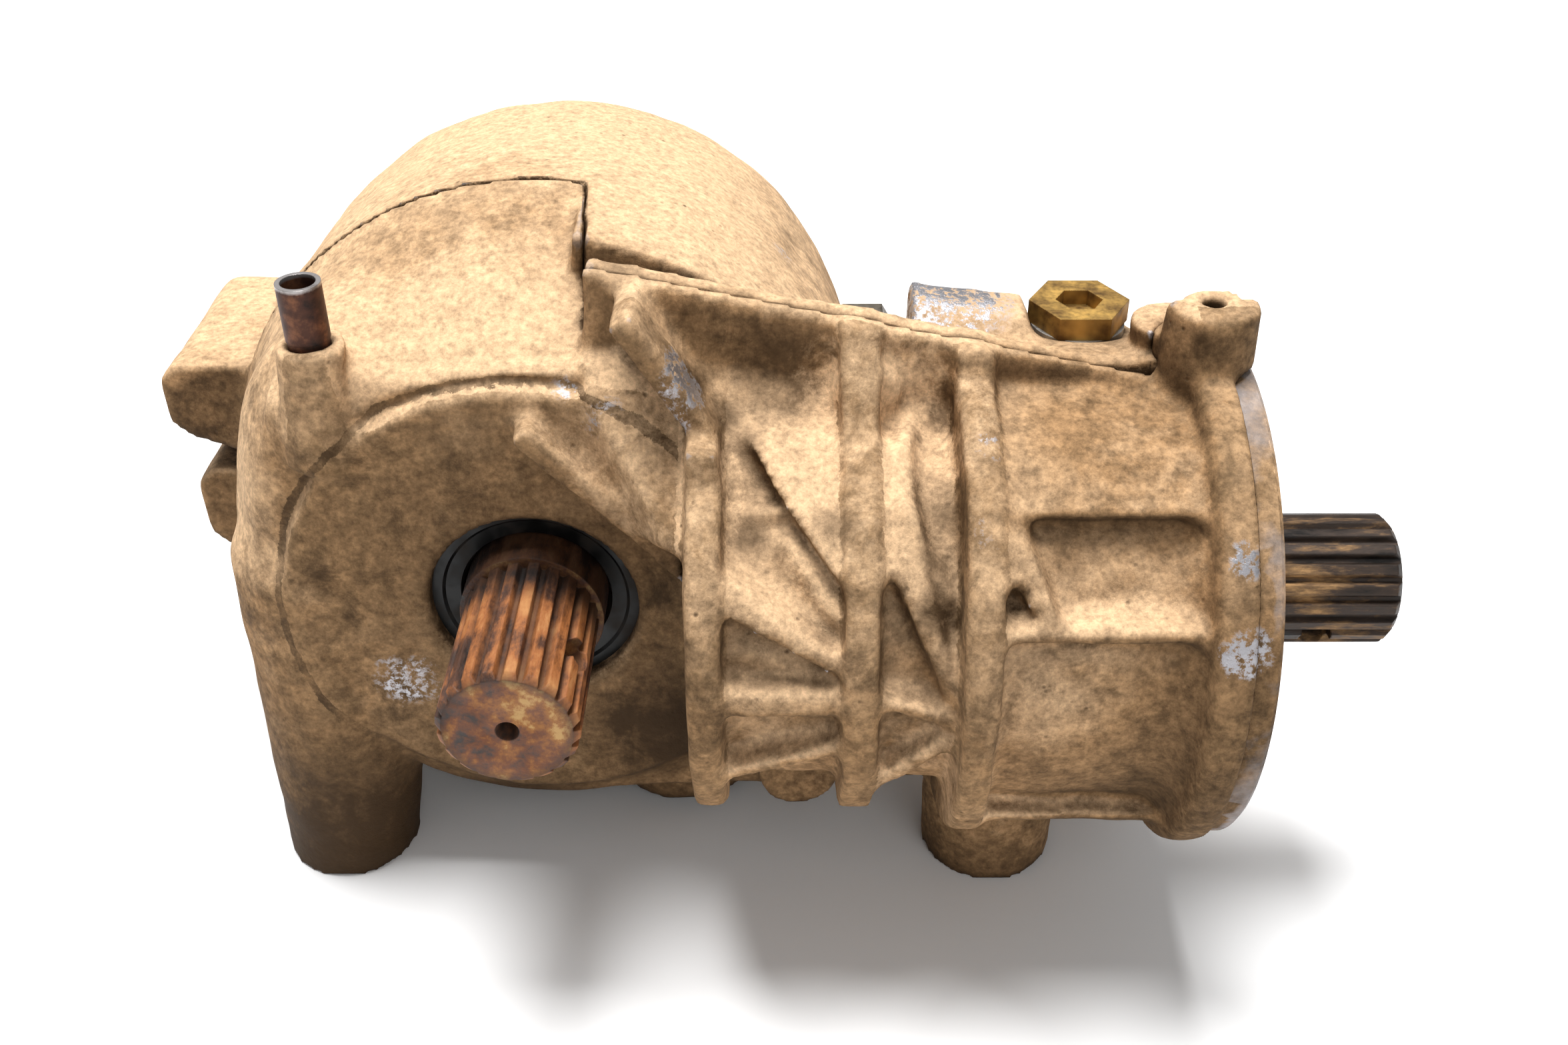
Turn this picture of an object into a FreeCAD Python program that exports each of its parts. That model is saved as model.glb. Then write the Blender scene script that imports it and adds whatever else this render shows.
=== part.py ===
import FreeCAD, Part
import math
import os

from FreeCAD import Vector

# Front differential, in millimetres
# The origin is on the output axis, in the plane of the front seal face.
# +X runs along the pinion axis to the input spline, +Y goes back from the
# front output, +Z is up.

# Shafts and axes
AXES_CROSS_Y = 10.0
SPLINE_R = 13.0
SPLINE_ROOT_R = 11.7
SPLINE_TEETH = 20
SPLINE_CHAMFER = 1.2
SPLINE_LENGTH = 33.0
INPUT_SPLINE_LENGTH = 32.0
INPUT_PIN_HOLE_TURN = 210.0
SPLINE_TIP_GAP_SHARE = 0.36
COLLAR_R = 14.0
COLLAR_STANDOUT = 2.8
FRONT_JOURNAL_R = 13.0
SIDE_GEAR_SEAT_R = 12.0
ROLL_PIN_HOLE_R = 3.2
ROLL_PIN_FROM_TIP = 15.0
ROLL_PIN_TILT = 25.0
CENTRE_DRILL_R = 2.2
CENTRE_DRILL_DEPTH = 4.5

# Front and rear castings
DRUM_WALL = 6.8
RING_ROOM = 6.9
SEAM_Y = 48.0
STEP_X = 13.4
STEP_BACK_X = 10.0
DOME_BACK_Y = 126.5
DOME_TAPER = 0.073
DOME_LEAN = 1.7
DOME_CORNER_R = 29.0
SEAL_PLATE_R = 48.5
SEAL_PLATE_STEP = 3.5
SHOULDER_DROP = 11.7
SHOULDER_Y = 9.5
FRONT_TAPER = 0.245
REAR_BOSS_R = 33.0
REAR_BOSS_STANDOUT = 5.0
RIM_FRONT_Y = 22.0

# Nose, its ribs and its webs
NOSE_ROOT_R = 37.5
NOSE_END_ROOT_R = 43.0
NOSE_REAR_R = 49.0
RIB_WIDTH = 7.3
RIB_1_X = 34.8
RIB_2_X = 62.8
RIB_3_X = 83.6
RIB_1_R = 45.0
RIB_2_R = 45.5
RIB_3_R = 49.8
FLANGE_X = 129.7
FLANGE_WIDTH = 7.3
FLANGE_R = 51.8
WEB_THICKNESS = 4.0
WEB_DRAFT = 3.0
WEB_R = 43.5
END_WEB_R = 47.8
ROOF_Z = 68.8
ROOF_END_Z = 46.8
ROOF_RUN = 104.0
BEAD_FRONT = 2.6
BEAD_REAR = 4.5
ROOF_DROP = 40.0
ROOF_REACH = 25.5
ROOF_RIB_HEIGHT = 2.6
ROOF_HOLLOW = 13.0
END_ROOF_HOLLOW = 6.5
CREST_Y = -21.0
CREST_Z = 37.0
SHELF_START_X = 73.0
SHELF_END_X = 96.5
SHELF_Y = 27.0
SHELF_BACK_Y = 35.0
SHELF_Z = 54.3
SHELF_END_Z = 51.4
LOWER_EDGE_Z = -54.0

# Feet, bosses and lugs
FOOT_DROP = 2.8
FOOT_R = 14.2
FOOT_HOLE_R = 4.25
FOOT_HOLE_DEPTH = 22.0
LEFT_FOOT_X = -48.5
LEFT_FOOT_Y = 11.0
LEFT_POST_TOP_R = 20.5
LEFT_POST_TOP_X = -43.5
LEFT_POST_TOP_Y = 19.5
LEFT_POST_TOP_Z = 3.0
LEFT_POST_CROWN = 13.0
NOSE_FOOT_X = 94.5
NOSE_FOOT_Y = 10.0
REAR_FOOT_X = 2.0
REAR_FOOT_Y = 98.0
DRAIN_BOSS_X = 26.0
DRAIN_BOSS_Y = 34.0
DRAIN_BOSS_R = 16.5
DRAIN_BOSS_DROP = 0.3
TOP_BOSS_X = 126.0
TOP_BOSS_Y = 9.5
TOP_BOSS_Z = 62.0
TOP_BOSS_R = 8.3
TOP_BOSS_HOLE_R = 2.1
TOP_BOSS_HOLE_DEPTH = 14.0
TWIN_LOBE_OFFSET_X = -5.0
TWIN_LOBE_OFFSET_Y = 8.5
LUG_OUT_X = -86.0
LUG_ROOT_X = -45.0
LUG_FRONT_Y = 52.0
LUG_LENGTH = 46.0
LUG_TOP_Z = 25.5
LUG_HEIGHT = 18.5
LUG_GAP = 8.0
LOWER_LUG_HEIGHT = 21.0
LOWER_LUG_OUT_X = -83.5
LUG_CHAMFER = 4.0
LUG_SLOPE = 0.35
LUG_HOLE_R = 4.25
LUG_HOLE_DEPTH = 20.0

# Vent tube
VENT_X = -36.0
VENT_Y = 6.0
VENT_TOP_Z = 67.3
VENT_HEIGHT = 10.9
VENT_R = 4.0
VENT_BORE_R = 3.1
VENT_SOCKET = 8.0
VENT_SEAT_R = 3.8
VENT_BOSS_R = 6.2
VENT_BOSS_BASE_R = 8.4
VENT_BOSS_DEPTH = 25.0
VENT_SHOULDER_GAP = 0.4
VENT_HOSE_ROOM_R = 8.0

# Bearings and seals
CARRIER_BEARING_BORE_R = 17.5
CARRIER_BEARING_OUT_R = 31.0
CARRIER_BEARING_WIDTH = 14.0
FRONT_BEARING_Y = 12.2
PINION_BEARING_BORE_R = 15.0
PINION_BEARING_OUT_R = 31.0
PINION_BEARING_WIDTH = 16.0
PINION_INNER_BEARING_X = 62.0
PINION_OUTER_BEARING_X = 103.0
PINION_SHOULDER_R = 19.0
RING_WALL = 4.5
ROLLERS = 11
ROLLER_GAP = 0.06
ROLLER_SIDE_GAP = 2.0
SEAL_OUT_R = 20.5
SEAL_WIDTH = 7.0
SEAL_DEPTH = 3.6
SEAL_BORE_CHAMFER = 1.0
PINION_SEAL_OUT_R = 23.5
PINION_SEAL_WIDTH = 6.5
RUNNING_GAP = 0.08
SHAFT_HOLE_GAP = 2.0

# Bevel gears
PRESSURE_ANGLE = 20.0
BACKLASH = 0.3
TOOTH_SHIFT = 0.3
RING_TEETH = 36
PINION_TEETH = 12
RING_FACE = 17.0
SIDE_TEETH = 16
SPIDER_TEETH = 10
DIFF_MODULE = 2.5
SPIDER_FACE = 7.0

# Carrier, which is also called the differential case
RING_BORE_R = 36.5
RING_BACK_Y = 40.0
RING_TOOTH_OVERHANG = 2.0
CASE_FLANGE_DROP = 0.5
CASE_FLANGE_THICKNESS = 6.0
CASE_R = 41.0
CASE_CAVITY_R = 29.3
DIFF_CENTRE_Y = 66.0
CASE_HALF_LENGTH = 21.3
CASE_CAP_THICKNESS = 9.0
WINDOW_HALF_LENGTH = 11.0
WINDOW_HALF_HEIGHT = 15.0
RING_BOLTS = 8
RING_BOLT_HEAD_ROOM = 0.57
RING_BOLT_EDGE = 7.5
RING_BOLT_R = 4.0
RING_BOLT_HEX = 12.0
RING_BOLT_HEAD = 5.0
RING_BOLT_REACH = 7.0
CAP_BOLTS = 6
CAP_BOLT_CIRCLE_R = 35.2
CAP_BOLT_R = 2.5
CAP_BOLT_HEAD_R = 4.2
CAP_BOLT_HEAD = 4.0
CAP_BOLT_LENGTH = 12.0
CROSS_PIN_R = 6.0
CROSS_PIN_LOCK_R = 2.0
WASHER_THICKNESS = 1.0
GEAR_BACK_FROM_CENTRE = 20.0
SPIDER_BACK_FROM_CENTRE = 26.0
SIDE_GEAR_RIM_R = 21.5
SPIDER_RIM_R = 12.8
SEAT_GAP = 0.1

# End cover and fasteners
COVER_R = 50.0
COVER_THICKNESS = 4.5
COVER_SPIGOT = 9.2
COVER_BOLTS = 6
COVER_BOLT_CIRCLE_R = 37.5
COVER_BOLT_R = 3.0
COVER_BOLT_HEAD_R = 5.0
COVER_BOLT_HEAD = 2.6
COVER_BOLT_SUNK = 0.2
COVER_BOLT_SOCKET_HEX = 4.0
COVER_BOLT_LENGTH = 16.0
ORING_R = 1.2
CASE_BOLT_R = 4.0
CASE_BOLT_BOSS_R = 8.5
CASE_BOLT_HEX = 13.0
CASE_BOLT_HEAD = 6.0
CASE_BOLT_GRIP = 11.0
NOSE_BOLT_BITE = 9.0
TOP_BOLT_BITE = 7.0
TOP_BOLT_BOSS_R = 6.2
SEAM_BOLT_BITE = 16.0
TOP_BOLTS = ((64.0, 12.0), (90.0, 16.0))
LOW_BOLT_X = (52.0, 110.0)
LOW_BOLT_RISE = 8.0
SEAM_BOLTS = ((223.5, 3.5), (245.0, 0.8))
PLUG_R = 7.0
PLUG_HEX = 17.0
PLUG_LENGTH = 10.0
PLUG_SOCKET_HEX = 8.0
FILL_PLUG_X = 106.5
FILL_PLUG_Y = 32.0
FILL_BOSS_R = 11.0
FILL_BOSS_Z = 45.0
FILL_HEAD = 4.5
FILL_SPOT_FACE_R = 10.5
FILL_HOLE_DEPTH = 11.5
FILL_PASSAGE_R = 2.5
DRAIN_RECESS = 5.0
GASKET_THICKNESS = 1.5

# Sizes that follow from the ones above
X_AXIS = Vector(1, 0, 0)
Y_AXIS = Vector(0, 1, 0)
Z_AXIS = Vector(0, 0, 1)
ORIGIN = Vector(0, 0, 0)
CROSSING = Vector(0, AXES_CROSS_Y, 0)
DIFF_CENTRE = Vector(0, DIFF_CENTRE_Y, 0)
RING_BOLT_CIRCLE_R = CASE_R + RING_BOLT_HEX / math.sqrt(3) + RING_BOLT_HEAD_ROOM
RING_RIM_R = RING_BOLT_CIRCLE_R + RING_BOLT_EDGE
MODULE = 2 * (RING_RIM_R - RING_TOOTH_OVERHANG) / RING_TEETH
DRUM_R = RING_RIM_R + RING_ROOM + DRUM_WALL
SHOULDER_R = DRUM_R - SHOULDER_DROP
FOOT_Z = -(DRUM_R + FOOT_DROP)
DRAIN_BOSS_Z = -(DRUM_R + DRAIN_BOSS_DROP)
REAR_FACE_Y = DOME_BACK_Y + REAR_BOSS_STANDOUT
REAR_BEARING_Y = REAR_FACE_Y - FRONT_BEARING_Y - CARRIER_BEARING_WIDTH
FRONT_BEARING_END_Y = FRONT_BEARING_Y + CARRIER_BEARING_WIDTH
COVER_FACE_X = FLANGE_X + COVER_THICKNESS
INPUT_SHOULDER_X = COVER_FACE_X + COLLAR_STANDOUT
INPUT_TIP_X = INPUT_SHOULDER_X + INPUT_SPLINE_LENGTH


def cylinder(radius, start, direction, length):
    return Part.makeCylinder(radius, length, start, direction)


def tube(outer, inner, start, direction, length):
    return cylinder(outer, start, direction, length).cut(cylinder(inner, start, direction, length))


def around_output(points, angle=360.0, start=0.0):
    """Turn (radius, y) points about the output axis."""
    wire = Part.makePolygon([Vector(r, y, 0) for r, y in points + points[:1]])
    face = Part.Face(wire)
    face.rotate(ORIGIN, Y_AXIS, start)
    return face.revolve(ORIGIN, Y_AXIS, angle)


def around_pinion(points):
    """Turn (x, radius) points about the pinion axis."""
    wire = Part.makePolygon([Vector(x, AXES_CROSS_Y, r) for x, r in points + points[:1]])
    return Part.Face(wire).revolve(CROSSING, X_AXIS, 360)


def plate(points, y_start, y_end):
    """Extrude an outline of (x, z) points from one y to another."""
    wire = Part.makePolygon([Vector(x, y_start, z) for x, z in points + points[:1]])
    return Part.Face(wire).extrude(Vector(0, y_end - y_start, 0))


def box(low, high):
    size = high.sub(low)
    return Part.makeBox(size.x, size.y, size.z, low)


def hexagon(across_flats, start, direction, length):
    radius = across_flats / math.sqrt(3)
    corners = [Vector(radius * math.cos(a), radius * math.sin(a), 0)
               for a in [math.radians(60 * k) for k in range(7)]]
    prism = Part.Face(Part.makePolygon(corners)).extrude(Vector(0, 0, length))
    prism.Placement = FreeCAD.Placement(start, FreeCAD.Rotation(Z_AXIS, direction))
    return prism


def fuse(first, others):
    return first.multiFuse(others)


def polar(centre, axis, radius, count, first_angle, zero):
    """Points evenly spaced on a circle, from the direction zero."""
    spots = []
    for k in range(count):
        turn = FreeCAD.Rotation(axis, first_angle + 360.0 * k / count)
        spots.append(centre.add(turn.multVec(zero).multiply(radius)))
    return spots


def strip(x1, z1, x2, z2, thickness, y_start, y_end):
    """A straight web seen from the front, between two (x, z) points."""
    length = math.hypot(x2 - x1, z2 - z1)
    nx = -(z2 - z1) / length * thickness / 2
    nz = (x2 - x1) / length * thickness / 2
    outline = [(x1 + nx, z1 + nz), (x2 + nx, z2 + nz), (x2 - nx, z2 - nz), (x1 - nx, z1 - nz)]
    return plate(outline, y_start, y_end)


# Outer form of the housing, before it is parted

def roof_z(x):
    return ROOF_Z - (ROOF_Z - ROOF_END_Z) * (x - STEP_X) / ROOF_RUN


def drum():
    """Tapered front drum with its seal plate, the rim behind the step, and the rear dome."""
    taper_end_y = DOME_BACK_Y - DOME_CORNER_R
    taper_end_r = DRUM_R - DOME_TAPER * (taper_end_y - SEAM_Y)
    corner = []
    for k in range(1, 6):
        a = math.radians(90.0 * k / 5)
        corner.append((taper_end_r - DOME_CORNER_R * (1 - math.cos(a)),
                       taper_end_y + DOME_CORNER_R * math.sin(a)))
    dome = around_output([(0, SEAM_Y), (DRUM_R, SEAM_Y), (taper_end_r, taper_end_y)] + corner + [(0, DOME_BACK_Y)])
    dome.rotate(Vector(0, SEAM_Y, 0), Z_AXIS, DOME_LEAN)
    dome = dome.common(box(Vector(-120, SEAM_Y, -120), Vector(120, DOME_BACK_Y + 10, 120)))
    seam = [(DRUM_R, SEAM_Y), (DRUM_R, SEAM_Y + 4), (0, SEAM_Y + 4)]
    plate_edge = [(0, 0), (SEAL_PLATE_R - 0.8, 0), (SEAL_PLATE_R, 0.8)]
    tapered = plate_edge + [(SEAL_PLATE_R, SEAL_PLATE_STEP), (SHOULDER_R - 3, SHOULDER_Y - 4),
                            (SHOULDER_R, SHOULDER_Y), (DRUM_R - FRONT_TAPER * (SEAM_Y - 20), 20)]
    chamfered = plate_edge + [(SEAL_PLATE_R, 1.6), (SEAL_PLATE_R + 4, 5), (DRUM_R - 2, 24)]
    upper = around_output(tapered + seam)
    lower = around_output(chamfered + seam, 168.0, 6.0)
    boss = cylinder(REAR_BOSS_R, Vector(0, DOME_BACK_Y - 12, 0), Y_AXIS, 12 + REAR_BOSS_STANDOUT)
    rim = cylinder(DRUM_R - 0.2, Vector(0, RIM_FRONT_Y, 0), Y_AXIS, SEAM_Y - RIM_FRONT_Y)
    behind_step = box(Vector(STEP_BACK_X, 0, -DRUM_R - 1), Vector(DRUM_R + 1, SEAM_Y, DRUM_R + 1))
    return fuse(upper, [lower, dome, boss, rim.common(behind_step)])


def ring_rib(centre_x, radius, width):
    low = centre_x - width / 2
    draft = 0.6
    return around_pinion([(low, 0), (low, NOSE_ROOT_R - 3), (low + draft, radius),
                          (low + width - draft, radius), (low + width, NOSE_ROOT_R - 3),
                          (low + width, 0)])


def roof_section(x, lift, hollow, foot_y, foot_z):
    """Outline across the sloping shoulder: bead, drop of the height hollow under it, and slope down to the foot."""
    z = roof_z(x) + lift * 0.2
    front = AXES_CROSS_Y - BEAD_FRONT - lift
    corners = [Vector(x, AXES_CROSS_Y + BEAD_REAR, z), Vector(x, front, z), Vector(x, front - hollow * 0.1, z - hollow),
               Vector(x, foot_y, foot_z), Vector(x, AXES_CROSS_Y, foot_z - 12),
               Vector(x, AXES_CROSS_Y + BEAD_REAR, foot_z)]
    return Part.makePolygon(corners + corners[:1])


def roof(start_x, end_x, lift, hollow):
    """Sloping shoulder from the parting edge down to the round of the nose."""
    front = AXES_CROSS_Y - BEAD_FRONT - lift
    sections = [roof_section(x, lift, hollow, front - ROOF_REACH, roof_z(x) - ROOF_DROP) for x in (start_x, end_x)]
    return Part.makeLoft(sections, True, True)


def end_roof():
    """Shoulder of the last bay, which ends in a crest over the front."""
    sections = [roof_section(x, 0.0, END_ROOF_HOLLOW, CREST_Y, CREST_Z) for x in (RIB_3_X, FLANGE_X - FLANGE_WIDTH + 1)]
    return Part.makeLoft(sections, True, True)


def shelf():
    """Raised ledge of the rear casting behind the parting edge."""
    x = SHELF_START_X
    section = [Vector(x, AXES_CROSS_Y + 2, SHELF_Z - 9), Vector(x, SHELF_Y - 3, SHELF_Z - 1),
               Vector(x, SHELF_Y, SHELF_Z), Vector(x, SHELF_BACK_Y, SHELF_Z), Vector(x, SHELF_BACK_Y, 38),
               Vector(x, AXES_CROSS_Y + 2, 38)]
    face = Part.Face(Part.makePolygon(section + section[:1]))
    return face.extrude(Vector(SHELF_END_X - x, 0, SHELF_END_Z - SHELF_Z))


def plate_side_slope():
    """Room beside the seal plate, where the roof slopes back towards the drum."""
    end_x = RIB_1_X - RIB_WIDTH / 2
    outline = [Vector(-20, -60, -80), Vector(end_x, -60, -80), Vector(end_x, -ROOF_REACH + 6, -80),
               Vector(STEP_X + 1, -1, -80), Vector(-20, -1, -80)]
    return Part.Face(Part.makePolygon(outline + outline[:1])).extrude(Vector(0, 0, 160))


def nose():
    start = RIB_1_X - RIB_WIDTH / 2
    barrel = around_pinion([(start, 0), (start, NOSE_ROOT_R), (RIB_3_X, NOSE_ROOT_R + 2),
                            (RIB_3_X + 3, NOSE_END_ROOT_R), (FLANGE_X - FLANGE_WIDTH - 4, NOSE_END_ROOT_R),
                            (FLANGE_X - FLANGE_WIDTH, NOSE_END_ROOT_R + 4), (FLANGE_X - 1, NOSE_END_ROOT_R + 4),
                            (FLANGE_X - 1, 0)])
    rear_round = around_pinion([(0, 0), (0, NOSE_REAR_R), (FLANGE_X - 2, NOSE_REAR_R), (FLANGE_X - 2, 0)])
    behind = box(Vector(0, AXES_CROSS_Y, -80), Vector(FLANGE_X, AXES_CROSS_Y + 80, 80))
    ribs = [ring_rib(RIB_1_X, RIB_1_R, RIB_WIDTH), ring_rib(RIB_2_X, RIB_2_R, RIB_WIDTH),
            ring_rib(RIB_3_X, RIB_3_R, RIB_WIDTH)]
    flange = around_pinion([(FLANGE_X - FLANGE_WIDTH, 0), (FLANGE_X - FLANGE_WIDTH, FLANGE_R - 1.5),
                            (FLANGE_X - FLANGE_WIDTH + 1.5, FLANGE_R), (FLANGE_X - 1, FLANGE_R),
                            (FLANGE_X, FLANGE_R - 1), (FLANGE_X, 0)])
    lower_edge = plate([(STEP_X, -20), (FLANGE_X - 3, -20), (FLANGE_X - 3, LOWER_EDGE_Z + 6),
                        (STEP_X, LOWER_EDGE_Z)],
                       AXES_CROSS_Y - BEAD_REAR, AXES_CROSS_Y + BEAD_REAR)
    roof_parts = [roof(STEP_X, RIB_3_X, 0.0, ROOF_HOLLOW).cut(plate_side_slope()), end_roof(), shelf()]
    for x in (RIB_2_X, RIB_3_X):
        roof_parts.append(roof(x - RIB_WIDTH / 2, x + RIB_WIDTH / 2, ROOF_RIB_HEIGHT, 0.0))
    return fuse(barrel, [rear_round.common(behind), flange, lower_edge] + ribs + roof_parts)


def web(x1, z1, x2, z2, thickness):
    """A web seen from the front, between two (x, z) points, thicker towards its root."""
    length = math.hypot(x2 - x1, z2 - z1)
    nx = -(z2 - z1) / length / 2
    nz = (x2 - x1) / length / 2
    outlines = []
    for y, width in ((AXES_CROSS_Y - RIB_3_R, thickness - WEB_DRAFT), (AXES_CROSS_Y, thickness + 4 * WEB_DRAFT)):
        corners = [Vector(x1 + nx * width, y, z1 + nz * width), Vector(x2 + nx * width, y, z2 + nz * width),
                   Vector(x2 - nx * width, y, z2 - nz * width), Vector(x1 - nx * width, y, z1 - nz * width)]
        outlines.append(Part.makePolygon(corners + corners[:1]))
    return Part.makeLoft(outlines, True, True)


def webs():
    """Webs between the ribs, drawn straight forward like the ribs of a die casting."""
    bay_1 = RIB_1_X
    bay_2 = RIB_2_X
    bay_3 = RIB_3_X
    end = FLANGE_X - FLANGE_WIDTH + 1
    low = WEB_THICKNESS
    wide = WEB_THICKNESS * 1.6
    runs = [(bay_1, 24.5, bay_2, 8.5, low), (bay_1, 3.5, bay_2, 3.5, wide), (bay_1, -18.0, bay_2, -5.5, low),
            (bay_1 + 11, 46.0, bay_2, 23.0, low), (bay_2 + 3, 39.0, bay_3 - 4, 4.0, low),
            (bay_2, 5.5, bay_3, -2.0, low), (bay_2, -23.0, bay_3, 0.0, low)]
    strips = [web(*run) for run in runs]
    limit = around_pinion([(bay_1, 0), (bay_1, WEB_R), (bay_3, WEB_R), (bay_3, 0)])
    inner = fuse(strips[0], strips[1:]).common(limit)
    end_runs = [(bay_3, 38.8, end, 38.2, low), (bay_3, 19.0, end, 19.0, low), (bay_3, -31.0, end, -34.0, low),
                (bay_3 + 4, 33.0, bay_3 + 13, 18.0, low)]
    end_strips = [web(*run) for run in end_runs]
    end_limit = around_pinion([(bay_3, 0), (bay_3, END_WEB_R), (end, END_WEB_R), (end, 0)])
    outer = fuse(end_strips[0], end_strips[1:]).common(end_limit)
    gussets = [strip(1.5, 43.5, RIB_1_X, 9.5, 4.6, -7.0, 8.0), strip(21.0, 66.0, RIB_1_X, 44.0, 5.0, -8.0, 10.0),
               strip(RIB_1_X, 44.0, RIB_1_X, 26.0, 6.0, -14.0, 8.0)]
    return fuse(inner, [outer] + gussets)


def left_post():
    """Tapered post over the left foot, with a round shoulder on top."""
    spots = [(FOOT_R, LEFT_FOOT_X, LEFT_FOOT_Y, FOOT_Z),
             (LEFT_POST_TOP_R, LEFT_POST_TOP_X, LEFT_POST_TOP_Y, LEFT_POST_TOP_Z),
             (LEFT_POST_TOP_R * 0.72, LEFT_POST_TOP_X, LEFT_POST_TOP_Y, LEFT_POST_TOP_Z + LEFT_POST_CROWN)]
    return Part.makeLoft([Part.Wire(Part.makeCircle(r, Vector(x, y, z), Z_AXIS)) for r, x, y, z in spots], True, True)


def foot_column(x, y, top_z):
    cone = Part.makeCone(FOOT_R, FOOT_R + 1.5, top_z - FOOT_Z, Vector(x, y, FOOT_Z), Z_AXIS)
    return cone


def lug(out_x, top_z, height):
    low = top_z - height
    outline = [(LUG_ROOT_X, top_z), (out_x + LUG_CHAMFER, top_z), (out_x, top_z - LUG_CHAMFER),
               (out_x, low + LUG_CHAMFER), (out_x + LUG_CHAMFER, low),
               (LUG_ROOT_X, low - LUG_SLOPE * (LUG_ROOT_X - out_x - LUG_CHAMFER))]
    return plate(outline, LUG_FRONT_Y, LUG_FRONT_Y + LUG_LENGTH)


def bolt_places():
    """Each bolt that holds the castings: its x, its z, the parting plane that it crosses and its bite."""
    places = [(x, roof_z(x) - drop, AXES_CROSS_Y, TOP_BOLT_BITE) for x, drop in TOP_BOLTS]
    places += [(x, LOWER_EDGE_Z + LOW_BOLT_RISE, AXES_CROSS_Y, NOSE_BOLT_BITE) for x in LOW_BOLT_X]
    for angle, standout in SEAM_BOLTS:
        a = math.radians(angle)
        radius = DRUM_R + standout
        places.append((radius * math.cos(a), radius * math.sin(a), SEAM_Y, SEAM_BOLT_BITE))
    return places


def bosses():
    parts = [left_post(), foot_column(NOSE_FOOT_X, NOSE_FOOT_Y, -30.0),
             foot_column(REAR_FOOT_X, REAR_FOOT_Y, 17.7 - DRUM_R),
             Part.makeCone(DRAIN_BOSS_R, DRAIN_BOSS_R + 2, 20.0,
                           Vector(DRAIN_BOSS_X, DRAIN_BOSS_Y, DRAIN_BOSS_Z), Z_AXIS),
             lug(LUG_OUT_X, LUG_TOP_Z, LUG_HEIGHT),
             lug(LOWER_LUG_OUT_X, LUG_TOP_Z - LUG_HEIGHT - LUG_GAP, LOWER_LUG_HEIGHT)]
    post = Part.makeCone(TOP_BOSS_R + 1.5, TOP_BOSS_R, TOP_BOSS_Z - 20, Vector(TOP_BOSS_X, TOP_BOSS_Y, 20), Z_AXIS)
    lobe = cylinder(TOP_BOSS_R - 1, Vector(TOP_BOSS_X + TWIN_LOBE_OFFSET_X, TOP_BOSS_Y + TWIN_LOBE_OFFSET_Y, 25),
                    Z_AXIS, TOP_BOSS_Z - 25)
    vent = Part.makeCone(VENT_BOSS_BASE_R, VENT_BOSS_R, VENT_BOSS_DEPTH - VENT_SHOULDER_GAP,
                         Vector(VENT_X, VENT_Y, VENT_TOP_Z - VENT_HEIGHT - VENT_BOSS_DEPTH), Z_AXIS)
    fill = cylinder(FILL_BOSS_R, Vector(FILL_PLUG_X, FILL_PLUG_Y, 25), Z_AXIS, FILL_BOSS_Z - 25)
    parts += [post, lobe, vent, fill]
    for x, z, y, bite in bolt_places():
        front_r = TOP_BOLT_BOSS_R if bite == TOP_BOLT_BITE else CASE_BOLT_BOSS_R
        parts.append(cylinder(front_r, Vector(x, y - bite, z), Y_AXIS, bite + 1))
        parts.append(cylinder(CASE_BOLT_BOSS_R, Vector(x, y, z), Y_AXIS, CASE_BOLT_GRIP))
    return parts


# Hollows of the housing

def carrier_chamber():
    inner = DRUM_R - DRUM_WALL
    taper_end_y = REAR_BEARING_Y + 6
    taper_end_r = inner - DOME_TAPER * (taper_end_y - SEAM_Y)
    boss_r = CARRIER_BEARING_OUT_R + 4
    front_in = SEAL_WIDTH + SEAL_DEPTH - 0.5
    rear_in = DOME_BACK_Y - DRUM_WALL
    return around_output([(0, FRONT_BEARING_END_Y + 0.3), (boss_r, FRONT_BEARING_END_Y + 0.3), (boss_r, front_in),
                          (boss_r + 10, front_in), (inner - 3.6, 27), (inner, SEAM_Y),
                          (taper_end_r, taper_end_y), (taper_end_r - 9, rear_in), (boss_r, rear_in),
                          (boss_r, REAR_BEARING_Y - 0.3), (0, REAR_BEARING_Y - 0.3)])


def shaft_bores():
    """Seal seat, shaft hole and bearing seat at both outputs."""
    seal_end = SEAL_DEPTH + SEAL_WIDTH
    cuts = []
    for face_y, way in ((0.0, 1.0), (REAR_FACE_Y, -1.0)):
        direction = Vector(0, way, 0)
        start = Vector(0, face_y, 0)
        cuts.append(cylinder(SEAL_OUT_R, start, direction, seal_end))
        cuts.append(Part.makeCone(SEAL_OUT_R + SEAL_BORE_CHAMFER, SEAL_OUT_R, SEAL_BORE_CHAMFER, start, direction))
        cuts.append(cylinder(COLLAR_R + SHAFT_HOLE_GAP, start, direction, FRONT_BEARING_Y + 1))
        cuts.append(cylinder(CARRIER_BEARING_OUT_R, start.add(Vector(0, way * FRONT_BEARING_Y, 0)), direction,
                             CARRIER_BEARING_WIDTH + 0.5))
    return cuts


def pinion_bores():
    head_room = around_pinion([(30.0, 0), (30.0, 24.5), (PINION_INNER_BEARING_X - 3, 27.5),
                               (PINION_INNER_BEARING_X, 27.5), (PINION_INNER_BEARING_X, PINION_BEARING_OUT_R),
                               (FLANGE_X + 1, PINION_BEARING_OUT_R), (FLANGE_X + 1, 0)])
    bearing_boss = cylinder(CARRIER_BEARING_OUT_R + 4, Vector(0, -1, 0), Y_AXIS, FRONT_BEARING_END_Y + 1.3)
    return head_room.cut(bearing_boss)


def threaded(x, y, z, direction, radius, depth):
    return cylinder(radius, Vector(x, y, z), direction, depth)


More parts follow.
